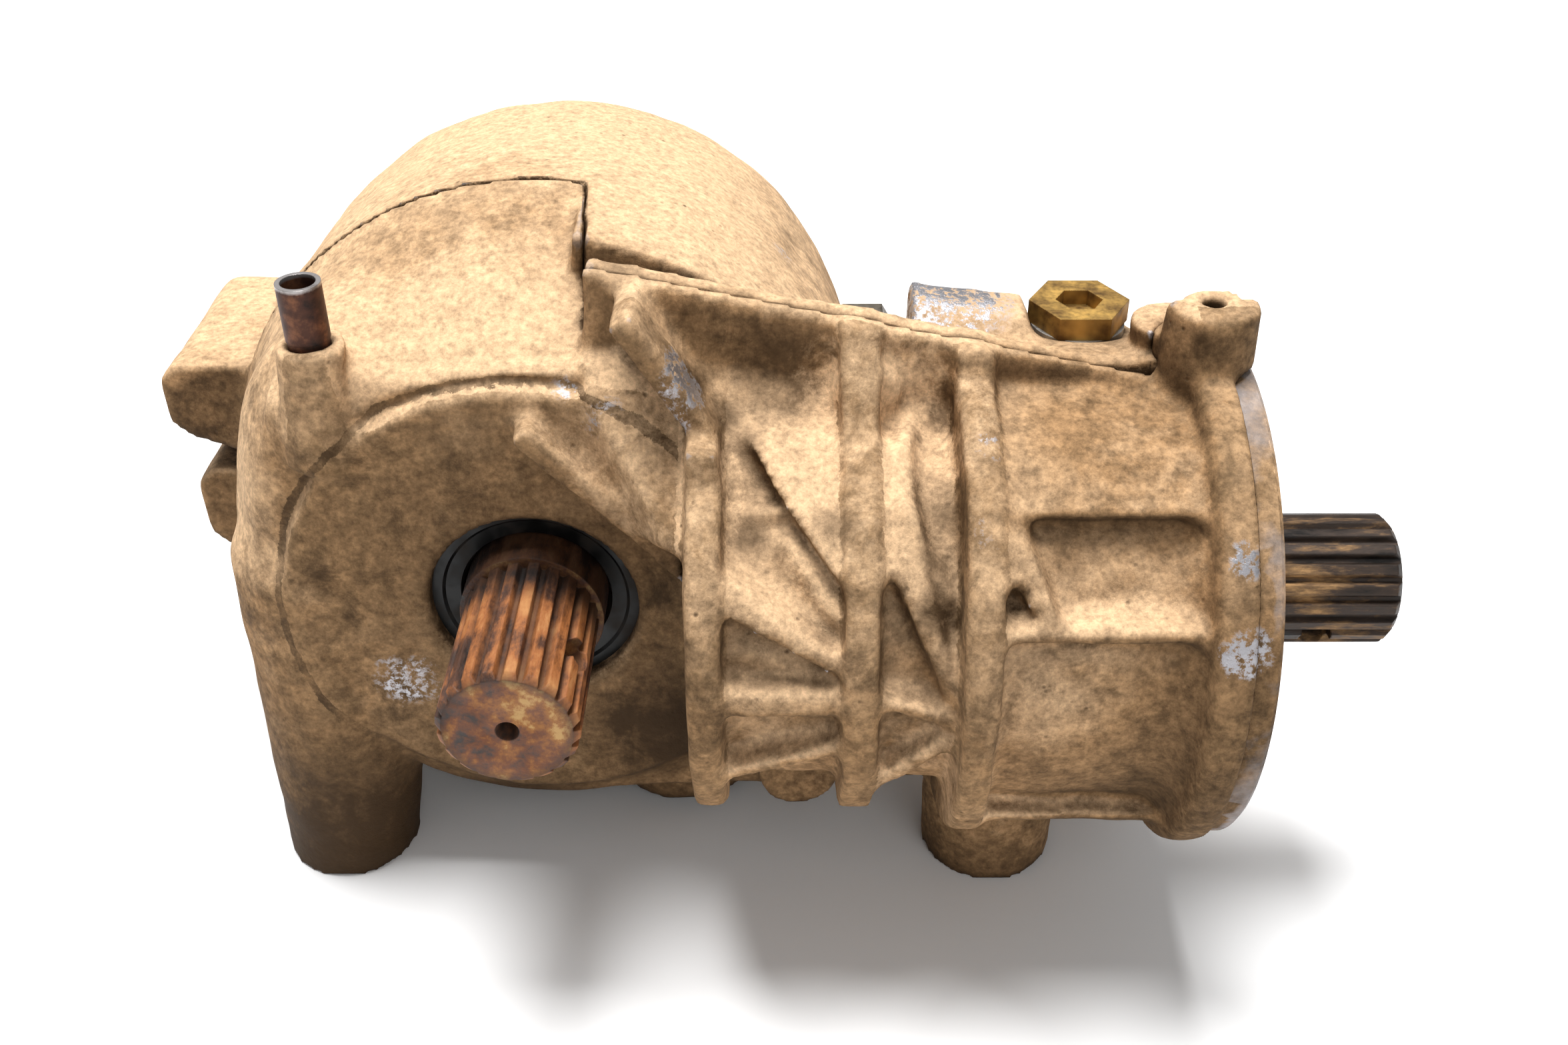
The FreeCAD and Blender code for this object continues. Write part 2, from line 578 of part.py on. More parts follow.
def housing_holes():
    cuts = [threaded(LEFT_FOOT_X, LEFT_FOOT_Y, FOOT_Z, Z_AXIS, FOOT_HOLE_R, FOOT_HOLE_DEPTH),
            threaded(NOSE_FOOT_X, NOSE_FOOT_Y, FOOT_Z, Z_AXIS, FOOT_HOLE_R, FOOT_HOLE_DEPTH - 6),
            threaded(REAR_FOOT_X, REAR_FOOT_Y, FOOT_Z, Z_AXIS, FOOT_HOLE_R, FOOT_HOLE_DEPTH - 12),
            threaded(TOP_BOSS_X, TOP_BOSS_Y, TOP_BOSS_Z - TOP_BOSS_HOLE_DEPTH, Z_AXIS, TOP_BOSS_HOLE_R,
                     TOP_BOSS_HOLE_DEPTH),
            threaded(VENT_X, VENT_Y, VENT_TOP_Z - VENT_HEIGHT - VENT_SOCKET, Z_AXIS, VENT_SEAT_R, VENT_SOCKET),
            cylinder(VENT_HOSE_ROOM_R, Vector(VENT_X, VENT_Y, VENT_TOP_Z - VENT_HEIGHT - VENT_SHOULDER_GAP), Z_AXIS, 20)]
    middle_y = LUG_FRONT_Y + LUG_LENGTH / 2
    upper_z = LUG_TOP_Z - LUG_HEIGHT / 2
    lower_z = LUG_TOP_Z - LUG_HEIGHT - LUG_GAP - LOWER_LUG_HEIGHT / 2
    for out_x, z in ((LUG_OUT_X, upper_z), (LOWER_LUG_OUT_X, lower_z)):
        cuts.append(threaded(out_x, middle_y, z, X_AXIS, LUG_HOLE_R, LUG_HOLE_DEPTH - 8))
    for x, z, y, bite in bolt_places():
        cuts.append(cylinder(CASE_BOLT_R, Vector(x, y - bite + 2, z), Y_AXIS, bite + CASE_BOLT_GRIP - 2))
        cuts.append(cylinder(CASE_BOLT_HEX / math.sqrt(3) + 1.2, Vector(x, y + CASE_BOLT_GRIP, z), Y_AXIS, 24))
    fill_seat = Vector(FILL_PLUG_X, FILL_PLUG_Y, FILL_BOSS_Z)
    cuts.append(cylinder(FILL_SPOT_FACE_R, fill_seat, Z_AXIS, 20))
    cuts.append(cylinder(PLUG_R, fill_seat, Z_AXIS.negative(), FILL_HOLE_DEPTH))
    passage_start = fill_seat.sub(Vector(3, 2, 9))
    cuts.append(cylinder(FILL_PASSAGE_R, passage_start, Vector(-12, -8, -12), 20))
    drain_top = DRAIN_BOSS_Z + DRAIN_RECESS
    cuts.append(cylinder(PLUG_HEX / math.sqrt(3) + 1, Vector(DRAIN_BOSS_X, DRAIN_BOSS_Y, DRAIN_BOSS_Z), Z_AXIS,
                         DRAIN_RECESS))
    cuts.append(cylinder(PLUG_R, Vector(DRAIN_BOSS_X, DRAIN_BOSS_Y, drain_top), Z_AXIS, 20))
    for spot in cover_bolt_spots():
        cuts.append(cylinder(COVER_BOLT_R, spot, X_AXIS.negative(), COVER_BOLT_LENGTH + 1))
    return cuts


def housing():
    shell = fuse(drum(), [nose(), webs()] + bosses())
    trim = box(Vector(FLANGE_X, -90, -90), Vector(FLANGE_X + 12, 130, 50))
    shell = shell.cut(trim)
    return shell.cut(fuse(carrier_chamber(), [pinion_bores()] + shaft_bores() + housing_holes()))


def front_region():
    """All that lies in front of the stepped parting face."""
    near = box(Vector(-120, -60, -100), Vector(180, AXES_CROSS_Y, 100))
    outline = [Vector(-120, -60, -100), Vector(STEP_X, -60, -100), Vector(STEP_X, AXES_CROSS_Y, -100),
               Vector(STEP_BACK_X, SEAM_Y, -100), Vector(-120, SEAM_Y, -100)]
    deep = Part.Face(Part.makePolygon(outline + outline[:1])).extrude(Vector(0, 0, 200))
    left_leg = box(Vector(-80, -60, FOOT_Z - 5), Vector(-24, SEAM_Y, 0))
    tower = cylinder(TOP_BOSS_R + 1.6, Vector(TOP_BOSS_X, TOP_BOSS_Y, 50), Z_AXIS, 30)
    nose_foot = cylinder(FOOT_R + 2, Vector(NOSE_FOOT_X, NOSE_FOOT_Y, FOOT_Z - 1), Z_AXIS, 17)
    bearing_boss = cylinder(CARRIER_BEARING_OUT_R + 4.5, Vector(0, 0, 0), Y_AXIS, FRONT_BEARING_END_Y + 0.5)
    return fuse(near, [deep, left_leg, tower, nose_foot, bearing_boss])


# Bevel gears

def involute(angle):
    return math.tan(angle) - angle


def tooth_outline(module, teeth, pitch_angle, shift, ring_side):
    """Tooth section at the outer end: (height over the pitch line, half width) points."""
    pressure = math.radians(PRESSURE_ANGLE)
    pitch_r = module * teeth / 2 / math.cos(pitch_angle)
    base_r = pitch_r * math.cos(pressure)
    addendum = module * (1 + shift) - (0.3 if ring_side else 0.0)
    dedendum = module * (1.2 - shift)
    thickness = module * (math.pi / 2 + 2 * shift * math.tan(pressure)) - BACKLASH
    half_angle = thickness / 2 / pitch_r + involute(pressure)
    points = []
    root_r = pitch_r - dedendum
    for k in range(5):
        radius = root_r + (pitch_r + addendum - root_r) * k / 4
        meeting = math.acos(min(1.0, base_r / radius))
        angle = half_angle - involute(meeting)
        points.append((radius * math.cos(angle) - pitch_r, radius * math.sin(angle)))
    sunk = (points[0][0] - 0.8, points[0][1])
    return [sunk] + points


def bevel_teeth(apex, axis, zero, module, teeth, mate_teeth, face, shift, half_step):
    """Straight bevel teeth whose flanks all meet at the apex."""
    pitch_angle = math.atan2(teeth, mate_teeth)
    distance = module * teeth / 2 / math.sin(pitch_angle)
    inner_share = (distance - face) / distance
    outline = tooth_outline(module, teeth, pitch_angle, shift, teeth > mate_teeth)
    loop = outline + [(h, -w) for h, w in reversed(outline)]
    solids = []
    for k in range(teeth):
        turn = FreeCAD.Rotation(axis, 360.0 * (k + (0.5 if half_step else 0.0)) / teeth)
        radial = turn.multVec(zero)
        side = axis.cross(radial)
        along = Vector(axis).multiply(math.cos(pitch_angle)).add(Vector(radial).multiply(math.sin(pitch_angle)))
        rise = Vector(radial).multiply(math.cos(pitch_angle)).sub(Vector(axis).multiply(math.sin(pitch_angle)))
        ends = []
        for share in (1.0, inner_share):
            corners = []
            for h, w in loop:
                offset = Vector(along).multiply(distance).add(Vector(rise).multiply(h)).add(Vector(side).multiply(w))
                corners.append(apex.add(offset.multiply(share)))
            ends.append(Part.makePolygon(corners + corners[:1]))
        solids.append(Part.makeLoft(ends, True, True))
    return solids


def gear_blank(apex, axis, module, teeth, mate_teeth, face, shift, back, rim_r, bore_r):
    """Body that carries bevel teeth: root cone in front, flat back at the distance back from the apex."""
    pitch_angle = math.atan2(teeth, mate_teeth)
    distance = module * teeth / 2 / math.sin(pitch_angle)
    inner_share = (distance - face) / distance
    depth = module * (1.2 - shift)
    root_r = distance * math.sin(pitch_angle) - depth * math.cos(pitch_angle)
    root_h = distance * math.cos(pitch_angle) + depth * math.sin(pitch_angle)
    points = [(bore_r, root_h * inner_share), (root_r * inner_share, root_h * inner_share),
              (root_r, root_h), (rim_r, root_h + (rim_r - root_r) * 0.8), (rim_r, back), (bore_r, back)]
    side = Vector(1, 0, 0) if abs(axis.x) < 0.5 else Vector(0, 0, 1)
    corners = [apex.add(Vector(side).multiply(r)).add(Vector(axis).multiply(h)) for r, h in points]
    face_shape = Part.Face(Part.makePolygon(corners + corners[:1]))
    return face_shape.revolve(apex, axis, 360)


def ring_gear():
    teeth = bevel_teeth(CROSSING, Y_AXIS, X_AXIS, MODULE, RING_TEETH, PINION_TEETH, RING_FACE, -TOOTH_SHIFT, False)
    blank = gear_blank(CROSSING, Y_AXIS, MODULE, RING_TEETH, PINION_TEETH, RING_FACE, -TOOTH_SHIFT,
                       RING_BACK_Y - AXES_CROSS_Y, RING_RIM_R, RING_BORE_R)
    gear = fuse(blank, teeth)
    back = Vector(0, RING_BACK_Y, 0)
    for spot in polar(back, Y_AXIS, RING_BOLT_CIRCLE_R, RING_BOLTS, 22.5, X_AXIS):
        gear = gear.cut(cylinder(RING_BOLT_R, spot, Y_AXIS.negative(), RING_BOLT_REACH))
    return gear


def spline(start, direction, length, chamfer_far):
    """Splined stub with flat-topped teeth and a chamfered far end."""
    step = 360.0 / SPLINE_TEETH
    gap = SPLINE_TIP_GAP_SHARE
    corners = []
    for k in range(SPLINE_TEETH):
        for share, radius in ((0.0, SPLINE_ROOT_R), (gap * 0.55, SPLINE_ROOT_R), (gap, SPLINE_R),
                              (1.0 - gap * 0.45, SPLINE_R)):
            a = math.radians(step * (k + share))
            corners.append(Vector(radius * math.cos(a), radius * math.sin(a), 0))
    solid = Part.Face(Part.makePolygon(corners + corners[:1])).extrude(Vector(0, 0, length))
    c = chamfer_far
    profile = [Vector(0, 0, 0), Vector(SPLINE_R + 1, 0, 0), Vector(SPLINE_R + 1, 0, length - c - 1),
               Vector(SPLINE_R - c, 0, length), Vector(0, 0, length)]
    solid = solid.common(Part.Face(Part.makePolygon(profile + profile[:1])).revolve(ORIGIN, Z_AXIS, 360))
    drill = Part.makeCone(0.3, CENTRE_DRILL_R, CENTRE_DRILL_DEPTH, Vector(0, 0, length - CENTRE_DRILL_DEPTH), Z_AXIS)
    solid = solid.cut(drill)
    solid.Placement = FreeCAD.Placement(start, FreeCAD.Rotation(Z_AXIS, direction))
    return solid


def pinion_shaft():
    teeth = bevel_teeth(CROSSING, X_AXIS, Y_AXIS, MODULE, PINION_TEETH, RING_TEETH, RING_FACE, TOOTH_SHIFT, True)
    head_back = PINION_INNER_BEARING_X - 0.5
    blank = gear_blank(CROSSING, X_AXIS, MODULE, PINION_TEETH, RING_TEETH, RING_FACE, TOOTH_SHIFT, head_back,
                       PINION_SHOULDER_R, 0.01)
    outer_end = PINION_OUTER_BEARING_X + PINION_BEARING_WIDTH + 1.8
    stem = around_pinion([(45.0, 0), (45.0, 12.0), (head_back - 0.1, 12.0), (head_back - 0.1, PINION_BEARING_BORE_R),
                          (outer_end - 1.3, PINION_BEARING_BORE_R), (outer_end - 1.3, PINION_BEARING_BORE_R - 1),
                          (outer_end, PINION_BEARING_BORE_R - 1), (outer_end, COLLAR_R),
                          (INPUT_SHOULDER_X, COLLAR_R), (INPUT_SHOULDER_X, 0)])
    stub = spline(Vector(INPUT_SHOULDER_X, AXES_CROSS_Y, 0), X_AXIS, INPUT_TIP_X - INPUT_SHOULDER_X, SPLINE_CHAMFER)
    shaft = fuse(blank, teeth + [stem, stub])
    hole_x = INPUT_TIP_X - ROLL_PIN_FROM_TIP
    way = FreeCAD.Rotation(X_AXIS, INPUT_PIN_HOLE_TURN).multVec(Y_AXIS)
    start = Vector(hole_x, AXES_CROSS_Y, 0).sub(Vector(way).multiply(SPLINE_R + 1))
    return shaft.cut(cylinder(ROLL_PIN_HOLE_R, start, way, 2 * SPLINE_R + 2))


def output_shaft(face_y, way):
    """Output shaft from its spline end to the side gear; way is +1 where it runs towards +Y."""
    def at(distance):
        return face_y + way * distance
    inner_end = abs(DIFF_CENTRE_Y - face_y) - CROSS_PIN_R - 1.0
    gear_seat = abs(DIFF_CENTRE_Y - face_y) - GEAR_BACK_FROM_CENTRE
    body = around_output([(0, at(-COLLAR_STANDOUT)), (COLLAR_R, at(-COLLAR_STANDOUT)),
                          (COLLAR_R, at(FRONT_BEARING_Y - 0.6)),
                          (FRONT_JOURNAL_R, at(FRONT_BEARING_Y - 0.6)), (FRONT_JOURNAL_R, at(gear_seat)),
                          (SIDE_GEAR_SEAT_R, at(gear_seat)), (SIDE_GEAR_SEAT_R, at(inner_end)), (0, at(inner_end))])
    stub = spline(Vector(0, at(-COLLAR_STANDOUT), 0), Vector(0, -way, 0), SPLINE_LENGTH, SPLINE_CHAMFER)
    hole_y = at(-COLLAR_STANDOUT - SPLINE_LENGTH + ROLL_PIN_FROM_TIP)
    across = FreeCAD.Rotation(Y_AXIS, -ROLL_PIN_TILT).multVec(X_AXIS)
    start = Vector(0, hole_y, 0).sub(Vector(across).multiply(SPLINE_R + 1))
    return fuse(body, [stub]).cut(cylinder(ROLL_PIN_HOLE_R, start, across, 2 * SPLINE_R + 2))


def side_gear(way):
    """Side gear on the output shaft; way is -1 for the front one."""
    axis = Vector(0, way, 0)
    teeth = bevel_teeth(DIFF_CENTRE, axis, Z_AXIS, DIFF_MODULE, SIDE_TEETH, SPIDER_TEETH, SPIDER_FACE, -TOOTH_SHIFT, False)
    blank = gear_blank(DIFF_CENTRE, axis, DIFF_MODULE, SIDE_TEETH, SPIDER_TEETH, SPIDER_FACE, -TOOTH_SHIFT,
                       GEAR_BACK_FROM_CENTRE, SIDE_GEAR_RIM_R, SIDE_GEAR_SEAT_R)
    return fuse(blank, teeth)


def spider_gear(way):
    axis = Vector(0, 0, way)
    teeth = bevel_teeth(DIFF_CENTRE, axis, Y_AXIS, DIFF_MODULE, SPIDER_TEETH, SIDE_TEETH, SPIDER_FACE, TOOTH_SHIFT, True)
    blank = gear_blank(DIFF_CENTRE, axis, DIFF_MODULE, SPIDER_TEETH, SIDE_TEETH, SPIDER_FACE, TOOTH_SHIFT,
                       SPIDER_BACK_FROM_CENTRE, SPIDER_RIM_R, CROSS_PIN_R + 0.05)
    return fuse(blank, teeth)


# Carrier

def case_body():
    front_in = DIFF_CENTRE_Y - CASE_HALF_LENGTH
    cap_y = DIFF_CENTRE_Y + CASE_HALF_LENGTH
    hub_r = CARRIER_BEARING_BORE_R
    hub_end = FRONT_BEARING_END_Y + 0.6
    flange_r = RING_RIM_R - CASE_FLANGE_DROP
    shell = around_output([(FRONT_JOURNAL_R + RUNNING_GAP, FRONT_BEARING_Y), (hub_r, FRONT_BEARING_Y),
                           (hub_r, hub_end - 0.6), (hub_r + 3, hub_end - 0.6), (hub_r + 5, hub_end + 1),
                           (RING_BORE_R - 0.05, RING_BACK_Y - 5), (RING_BORE_R - 0.05, RING_BACK_Y),
                           (flange_r, RING_BACK_Y), (flange_r, RING_BACK_Y + CASE_FLANGE_THICKNESS),
                           (CASE_R, RING_BACK_Y + CASE_FLANGE_THICKNESS), (CASE_R, cap_y),
                           (CASE_CAVITY_R, cap_y), (CASE_CAVITY_R, front_in),
                           (FRONT_JOURNAL_R + RUNNING_GAP, front_in)])
    window = box(Vector(-CASE_R - 2, DIFF_CENTRE_Y - WINDOW_HALF_LENGTH, -WINDOW_HALF_HEIGHT),
                 Vector(CASE_R + 2, DIFF_CENTRE_Y + WINDOW_HALF_LENGTH, WINDOW_HALF_HEIGHT))
    core = cylinder(CASE_CAVITY_R - 1, Vector(0, front_in, 0), Y_AXIS, 2 * CASE_HALF_LENGTH)
    pin_hole = cylinder(CROSS_PIN_R, Vector(0, DIFF_CENTRE_Y, -CASE_R - 1), Z_AXIS, 2 * CASE_R + 2)
    cuts = [window.cut(core), pin_hole, lock_pin_solid()]
    for spot in ring_bolt_spots():
        cuts.append(cylinder(RING_BOLT_R, spot, Y_AXIS.negative(), 20))
    for spot in cap_bolt_spots():
        cuts.append(cylinder(CAP_BOLT_R, spot, Y_AXIS.negative(), CAP_BOLT_LENGTH + 6))
    return shell.cut(fuse(cuts[0], cuts[1:]))


def case_cap():
    cap_y = DIFF_CENTRE_Y + CASE_HALF_LENGTH
    hub_r = CARRIER_BEARING_BORE_R
    hub_start = REAR_BEARING_Y
    end_y = REAR_FACE_Y - FRONT_BEARING_Y
    cap = around_output([(FRONT_JOURNAL_R + RUNNING_GAP, cap_y), (CASE_R, cap_y), (CASE_R, cap_y + CASE_CAP_THICKNESS),
                         (hub_r + 12, cap_y + CASE_CAP_THICKNESS), (hub_r + 3, hub_start), (hub_r, hub_start),
                         (hub_r, end_y), (FRONT_JOURNAL_R + RUNNING_GAP, end_y)])
    holes = [cylinder(CAP_BOLT_R, spot, Y_AXIS.negative(), CASE_CAP_THICKNESS + 1) for spot in cap_bolt_spots()]
    return cap.cut(fuse(holes[0], holes[1:]))


def ring_bolt_spots():
    head_y = RING_BACK_Y + CASE_FLANGE_THICKNESS
    return polar(Vector(0, head_y, 0), Y_AXIS, RING_BOLT_CIRCLE_R, RING_BOLTS, 22.5, X_AXIS)


def cap_bolt_spots():
    head_y = DIFF_CENTRE_Y + CASE_HALF_LENGTH + CASE_CAP_THICKNESS
    return polar(Vector(0, head_y, 0), Y_AXIS, CAP_BOLT_CIRCLE_R, CAP_BOLTS, 30.0, X_AXIS)


def cover_bolt_spots():
    return polar(Vector(FLANGE_X + COVER_THICKNESS, AXES_CROSS_Y, 0), X_AXIS, COVER_BOLT_CIRCLE_R, COVER_BOLTS, 0.0,
                 Y_AXIS)


def lock_pin_solid():
    y = DIFF_CENTRE_Y
    z = CASE_R - 3.2
    return cylinder(CROSS_PIN_LOCK_R, Vector(-CROSS_PIN_R - 4, y, z), X_AXIS, 2 * CROSS_PIN_R + 8)


def cross_pin():
    half = CASE_R - 0.5
    pin = cylinder(CROSS_PIN_R, Vector(0, DIFF_CENTRE_Y, -half), Z_AXIS, 2 * half)
    return pin.cut(lock_pin_solid())


def ring_bolts():
    solids = []
    for spot in ring_bolt_spots():
        shank = cylinder(RING_BOLT_R, spot, Y_AXIS.negative(), CASE_FLANGE_THICKNESS + RING_BOLT_REACH)
        solids.append(shank.fuse(hexagon(RING_BOLT_HEX, spot, Y_AXIS, RING_BOLT_HEAD)))
    return Part.makeCompound(solids)


def cap_bolts():
    solids = []
    for spot in cap_bolt_spots():
        shank = cylinder(CAP_BOLT_R, spot, Y_AXIS.negative(), CASE_CAP_THICKNESS + CAP_BOLT_LENGTH - 4)
        solids.append(shank.fuse(cylinder(CAP_BOLT_HEAD_R, spot, Y_AXIS, CAP_BOLT_HEAD)))
    return Part.makeCompound(solids)


def side_washer(way):
    start = DIFF_CENTRE_Y + way * GEAR_BACK_FROM_CENTRE
    return tube(SIDE_GEAR_RIM_R, FRONT_JOURNAL_R + 0.3, Vector(0, start, 0), Vector(0, way, 0), WASHER_THICKNESS)


def spider_washer(way):
    start = DIFF_CENTRE.add(Vector(0, 0, way * SPIDER_BACK_FROM_CENTRE))
    return tube(11.0, CROSS_PIN_R + 0.05, start, Vector(0, 0, way), WASHER_THICKNESS)


# Bearings

def bearing(start, axis, bore_r, out_r, width, name):
    """Outer ring, inner ring and the caged rollers of one roller bearing."""
    outer_in = out_r - RING_WALL
    inner_out = bore_r + RING_WALL
    outer = tube(out_r, outer_in, start, axis, width)
    inner = tube(inner_out, bore_r, start, axis, width)
    roller_r = (outer_in - inner_out) / 2 - ROLLER_GAP
    middle = (outer_in + inner_out) / 2
    side = Z_AXIS
    first = start.add(Vector(axis).multiply(ROLLER_SIDE_GAP))
    length = width - 2 * ROLLER_SIDE_GAP
    rollers = [cylinder(roller_r, spot, axis, length) for spot in polar(first, axis, middle, ROLLERS, 0.0, side)]
    cage = tube(middle + roller_r * 0.45, middle - roller_r * 0.45, start.add(Vector(axis).multiply(0.6)), axis,
                width - 1.2)
    return {name + "_outer_ring": outer, name + "_inner_ring": inner, name + "_rollers": fuse(cage, rollers)}


# Seals, end cover and small pieces

def lip_seal(start, direction, out_r, shaft_r, width):
    """Rubber-covered seal: stiff outer band, dished web and a lip by the shaft."""
    lip = shaft_r + RUNNING_GAP
    profile = [(out_r, 0.0), (out_r, width), (out_r - 1.8, width), (out_r - 2.2, 1.9), (lip + 1.6, 2.3),
               (lip + 1.6, width * 0.72), (lip, width * 0.6), (lip, width * 0.45), (lip + 0.9, 0.8),
               (out_r - 2.6, 0.5), (out_r - 2.0, 0.0)]
    side = Z_AXIS
    corners = [start.add(Vector(side).multiply(r)).add(Vector(direction).multiply(h)) for r, h in profile]
    return Part.Face(Part.makePolygon(corners + corners[:1])).revolve(start, direction, 360)


def end_cover():
    seal_in = COVER_FACE_X - 1.0 - PINION_SEAL_WIDTH
    spigot_x = FLANGE_X - COVER_SPIGOT
    spigot_r = PINION_BEARING_OUT_R - 0.02
    cover = around_pinion([(spigot_x, PINION_BEARING_BORE_R + 3.2), (spigot_x, spigot_r), (FLANGE_X, spigot_r),
                           (FLANGE_X, COVER_R), (COVER_FACE_X - 0.8, COVER_R), (COVER_FACE_X, COVER_R - 0.8),
                           (COVER_FACE_X, PINION_SEAL_OUT_R), (seal_in, PINION_SEAL_OUT_R),
                           (seal_in, PINION_BEARING_BORE_R + 3.2)])
    floor_r = spigot_r - 2 * ORING_R - SEAT_GAP
    groove = around_pinion([(oring_x() - ORING_R - 0.2, floor_r), (oring_x() - ORING_R - 0.2, 40),
                            (oring_x() + ORING_R + 0.2, 40), (oring_x() + ORING_R + 0.2, floor_r)])
    groove = groove.common(cylinder(spigot_r + 0.5, Vector(spigot_x, AXES_CROSS_Y, 0), X_AXIS, COVER_SPIGOT))
    holes = [cylinder(COVER_BOLT_R, spot, X_AXIS.negative(), COVER_THICKNESS + 1) for spot in cover_bolt_spots()]
    sinks = [sunk_head(spot) for spot in cover_bolt_spots()]
    lips = [cylinder(COVER_BOLT_HEAD_R, spot, X_AXIS.negative(), COVER_BOLT_SUNK) for spot in cover_bolt_spots()]
    return cover.cut(fuse(groove, holes + sinks + lips))


def oring_x():
    return FLANGE_X - COVER_SPIGOT / 2


def cover_oring():
    major = PINION_BEARING_OUT_R - ORING_R - 0.05
    return Part.makeTorus(major, ORING_R, Vector(oring_x(), AXES_CROSS_Y, 0), X_AXIS)


def sunk_head(spot):
    """Countersunk bolt head, just under the face of the cover."""
    top = spot.sub(Vector(COVER_BOLT_SUNK, 0, 0))
    return Part.makeCone(COVER_BOLT_HEAD_R, COVER_BOLT_R, COVER_BOLT_HEAD, top, X_AXIS.negative())


def cover_bolts():
    solids = []
    for spot in cover_bolt_spots():
        top = spot.sub(Vector(COVER_BOLT_SUNK, 0, 0))
        shank = cylinder(COVER_BOLT_R, top, X_AXIS.negative(), COVER_BOLT_LENGTH)
        socket = hexagon(COVER_BOLT_SOCKET_HEX, top, X_AXIS.negative(), COVER_BOLT_HEAD)
        solids.append(shank.fuse(sunk_head(spot)).cut(socket))
    return Part.makeCompound(solids)


def housing_bolts():
    solids = []
    for x, z, y, bite in bolt_places():
        seat = Vector(x, y + CASE_BOLT_GRIP, z)
        shank = cylinder(CASE_BOLT_R, seat, Y_AXIS.negative(), CASE_BOLT_GRIP + bite - 3)
        solids.append(shank.fuse(hexagon(CASE_BOLT_HEX, seat, Y_AXIS, CASE_BOLT_HEAD)))
    return Part.makeCompound(solids)


def snap_ring():
    x = PINION_OUTER_BEARING_X + PINION_BEARING_WIDTH + 0.5
    return around_pinion([(x, PINION_BEARING_BORE_R - 1), (x, PINION_BEARING_BORE_R + 2.2),
                          (x + 1.2, PINION_BEARING_BORE_R + 2.2), (x + 1.2, PINION_BEARING_BORE_R - 1)])


def spacer():
    x = PINION_INNER_BEARING_X + PINION_BEARING_WIDTH
    length = PINION_OUTER_BEARING_X - x
    return tube(PINION_BEARING_BORE_R + 3.4, PINION_BEARING_BORE_R, Vector(x, AXES_CROSS_Y, 0), X_AXIS, length)


def plug(seat, direction, head_height):
    """Screw plug with a hexagon head and a socket in it."""
    shank = cylinder(PLUG_R, seat, direction.negative(), PLUG_LENGTH)
    head_start = seat.add(Vector(direction).multiply(GASKET_THICKNESS))
    neck = cylinder(PLUG_R, seat, direction, GASKET_THICKNESS)
    head = hexagon(PLUG_HEX, head_start, direction, head_height)
    deep = head_height * 0.7
    socket_start = head_start.add(Vector(direction).multiply(head_height - deep))
    socket = hexagon(PLUG_SOCKET_HEX, socket_start, direction, deep)
    return fuse(shank, [neck, head]).cut(socket)


def plug_washer(seat, direction):
    return tube(PLUG_R + 2.2, PLUG_R, seat, direction, GASKET_THICKNESS)


def vent_tube():
    shoulder = Vector(VENT_X, VENT_Y, VENT_TOP_Z - VENT_HEIGHT)
    seat = cylinder(VENT_SEAT_R, shoulder, Z_AXIS.negative(), VENT_SOCKET)
    outside = cylinder(VENT_R, shoulder, Z_AXIS, VENT_HEIGHT).fuse(seat)
    base = shoulder.sub(Vector(0, 0, VENT_SOCKET))
    return outside.cut(cylinder(VENT_BORE_R, base, Z_AXIS, VENT_HEIGHT + VENT_SOCKET))


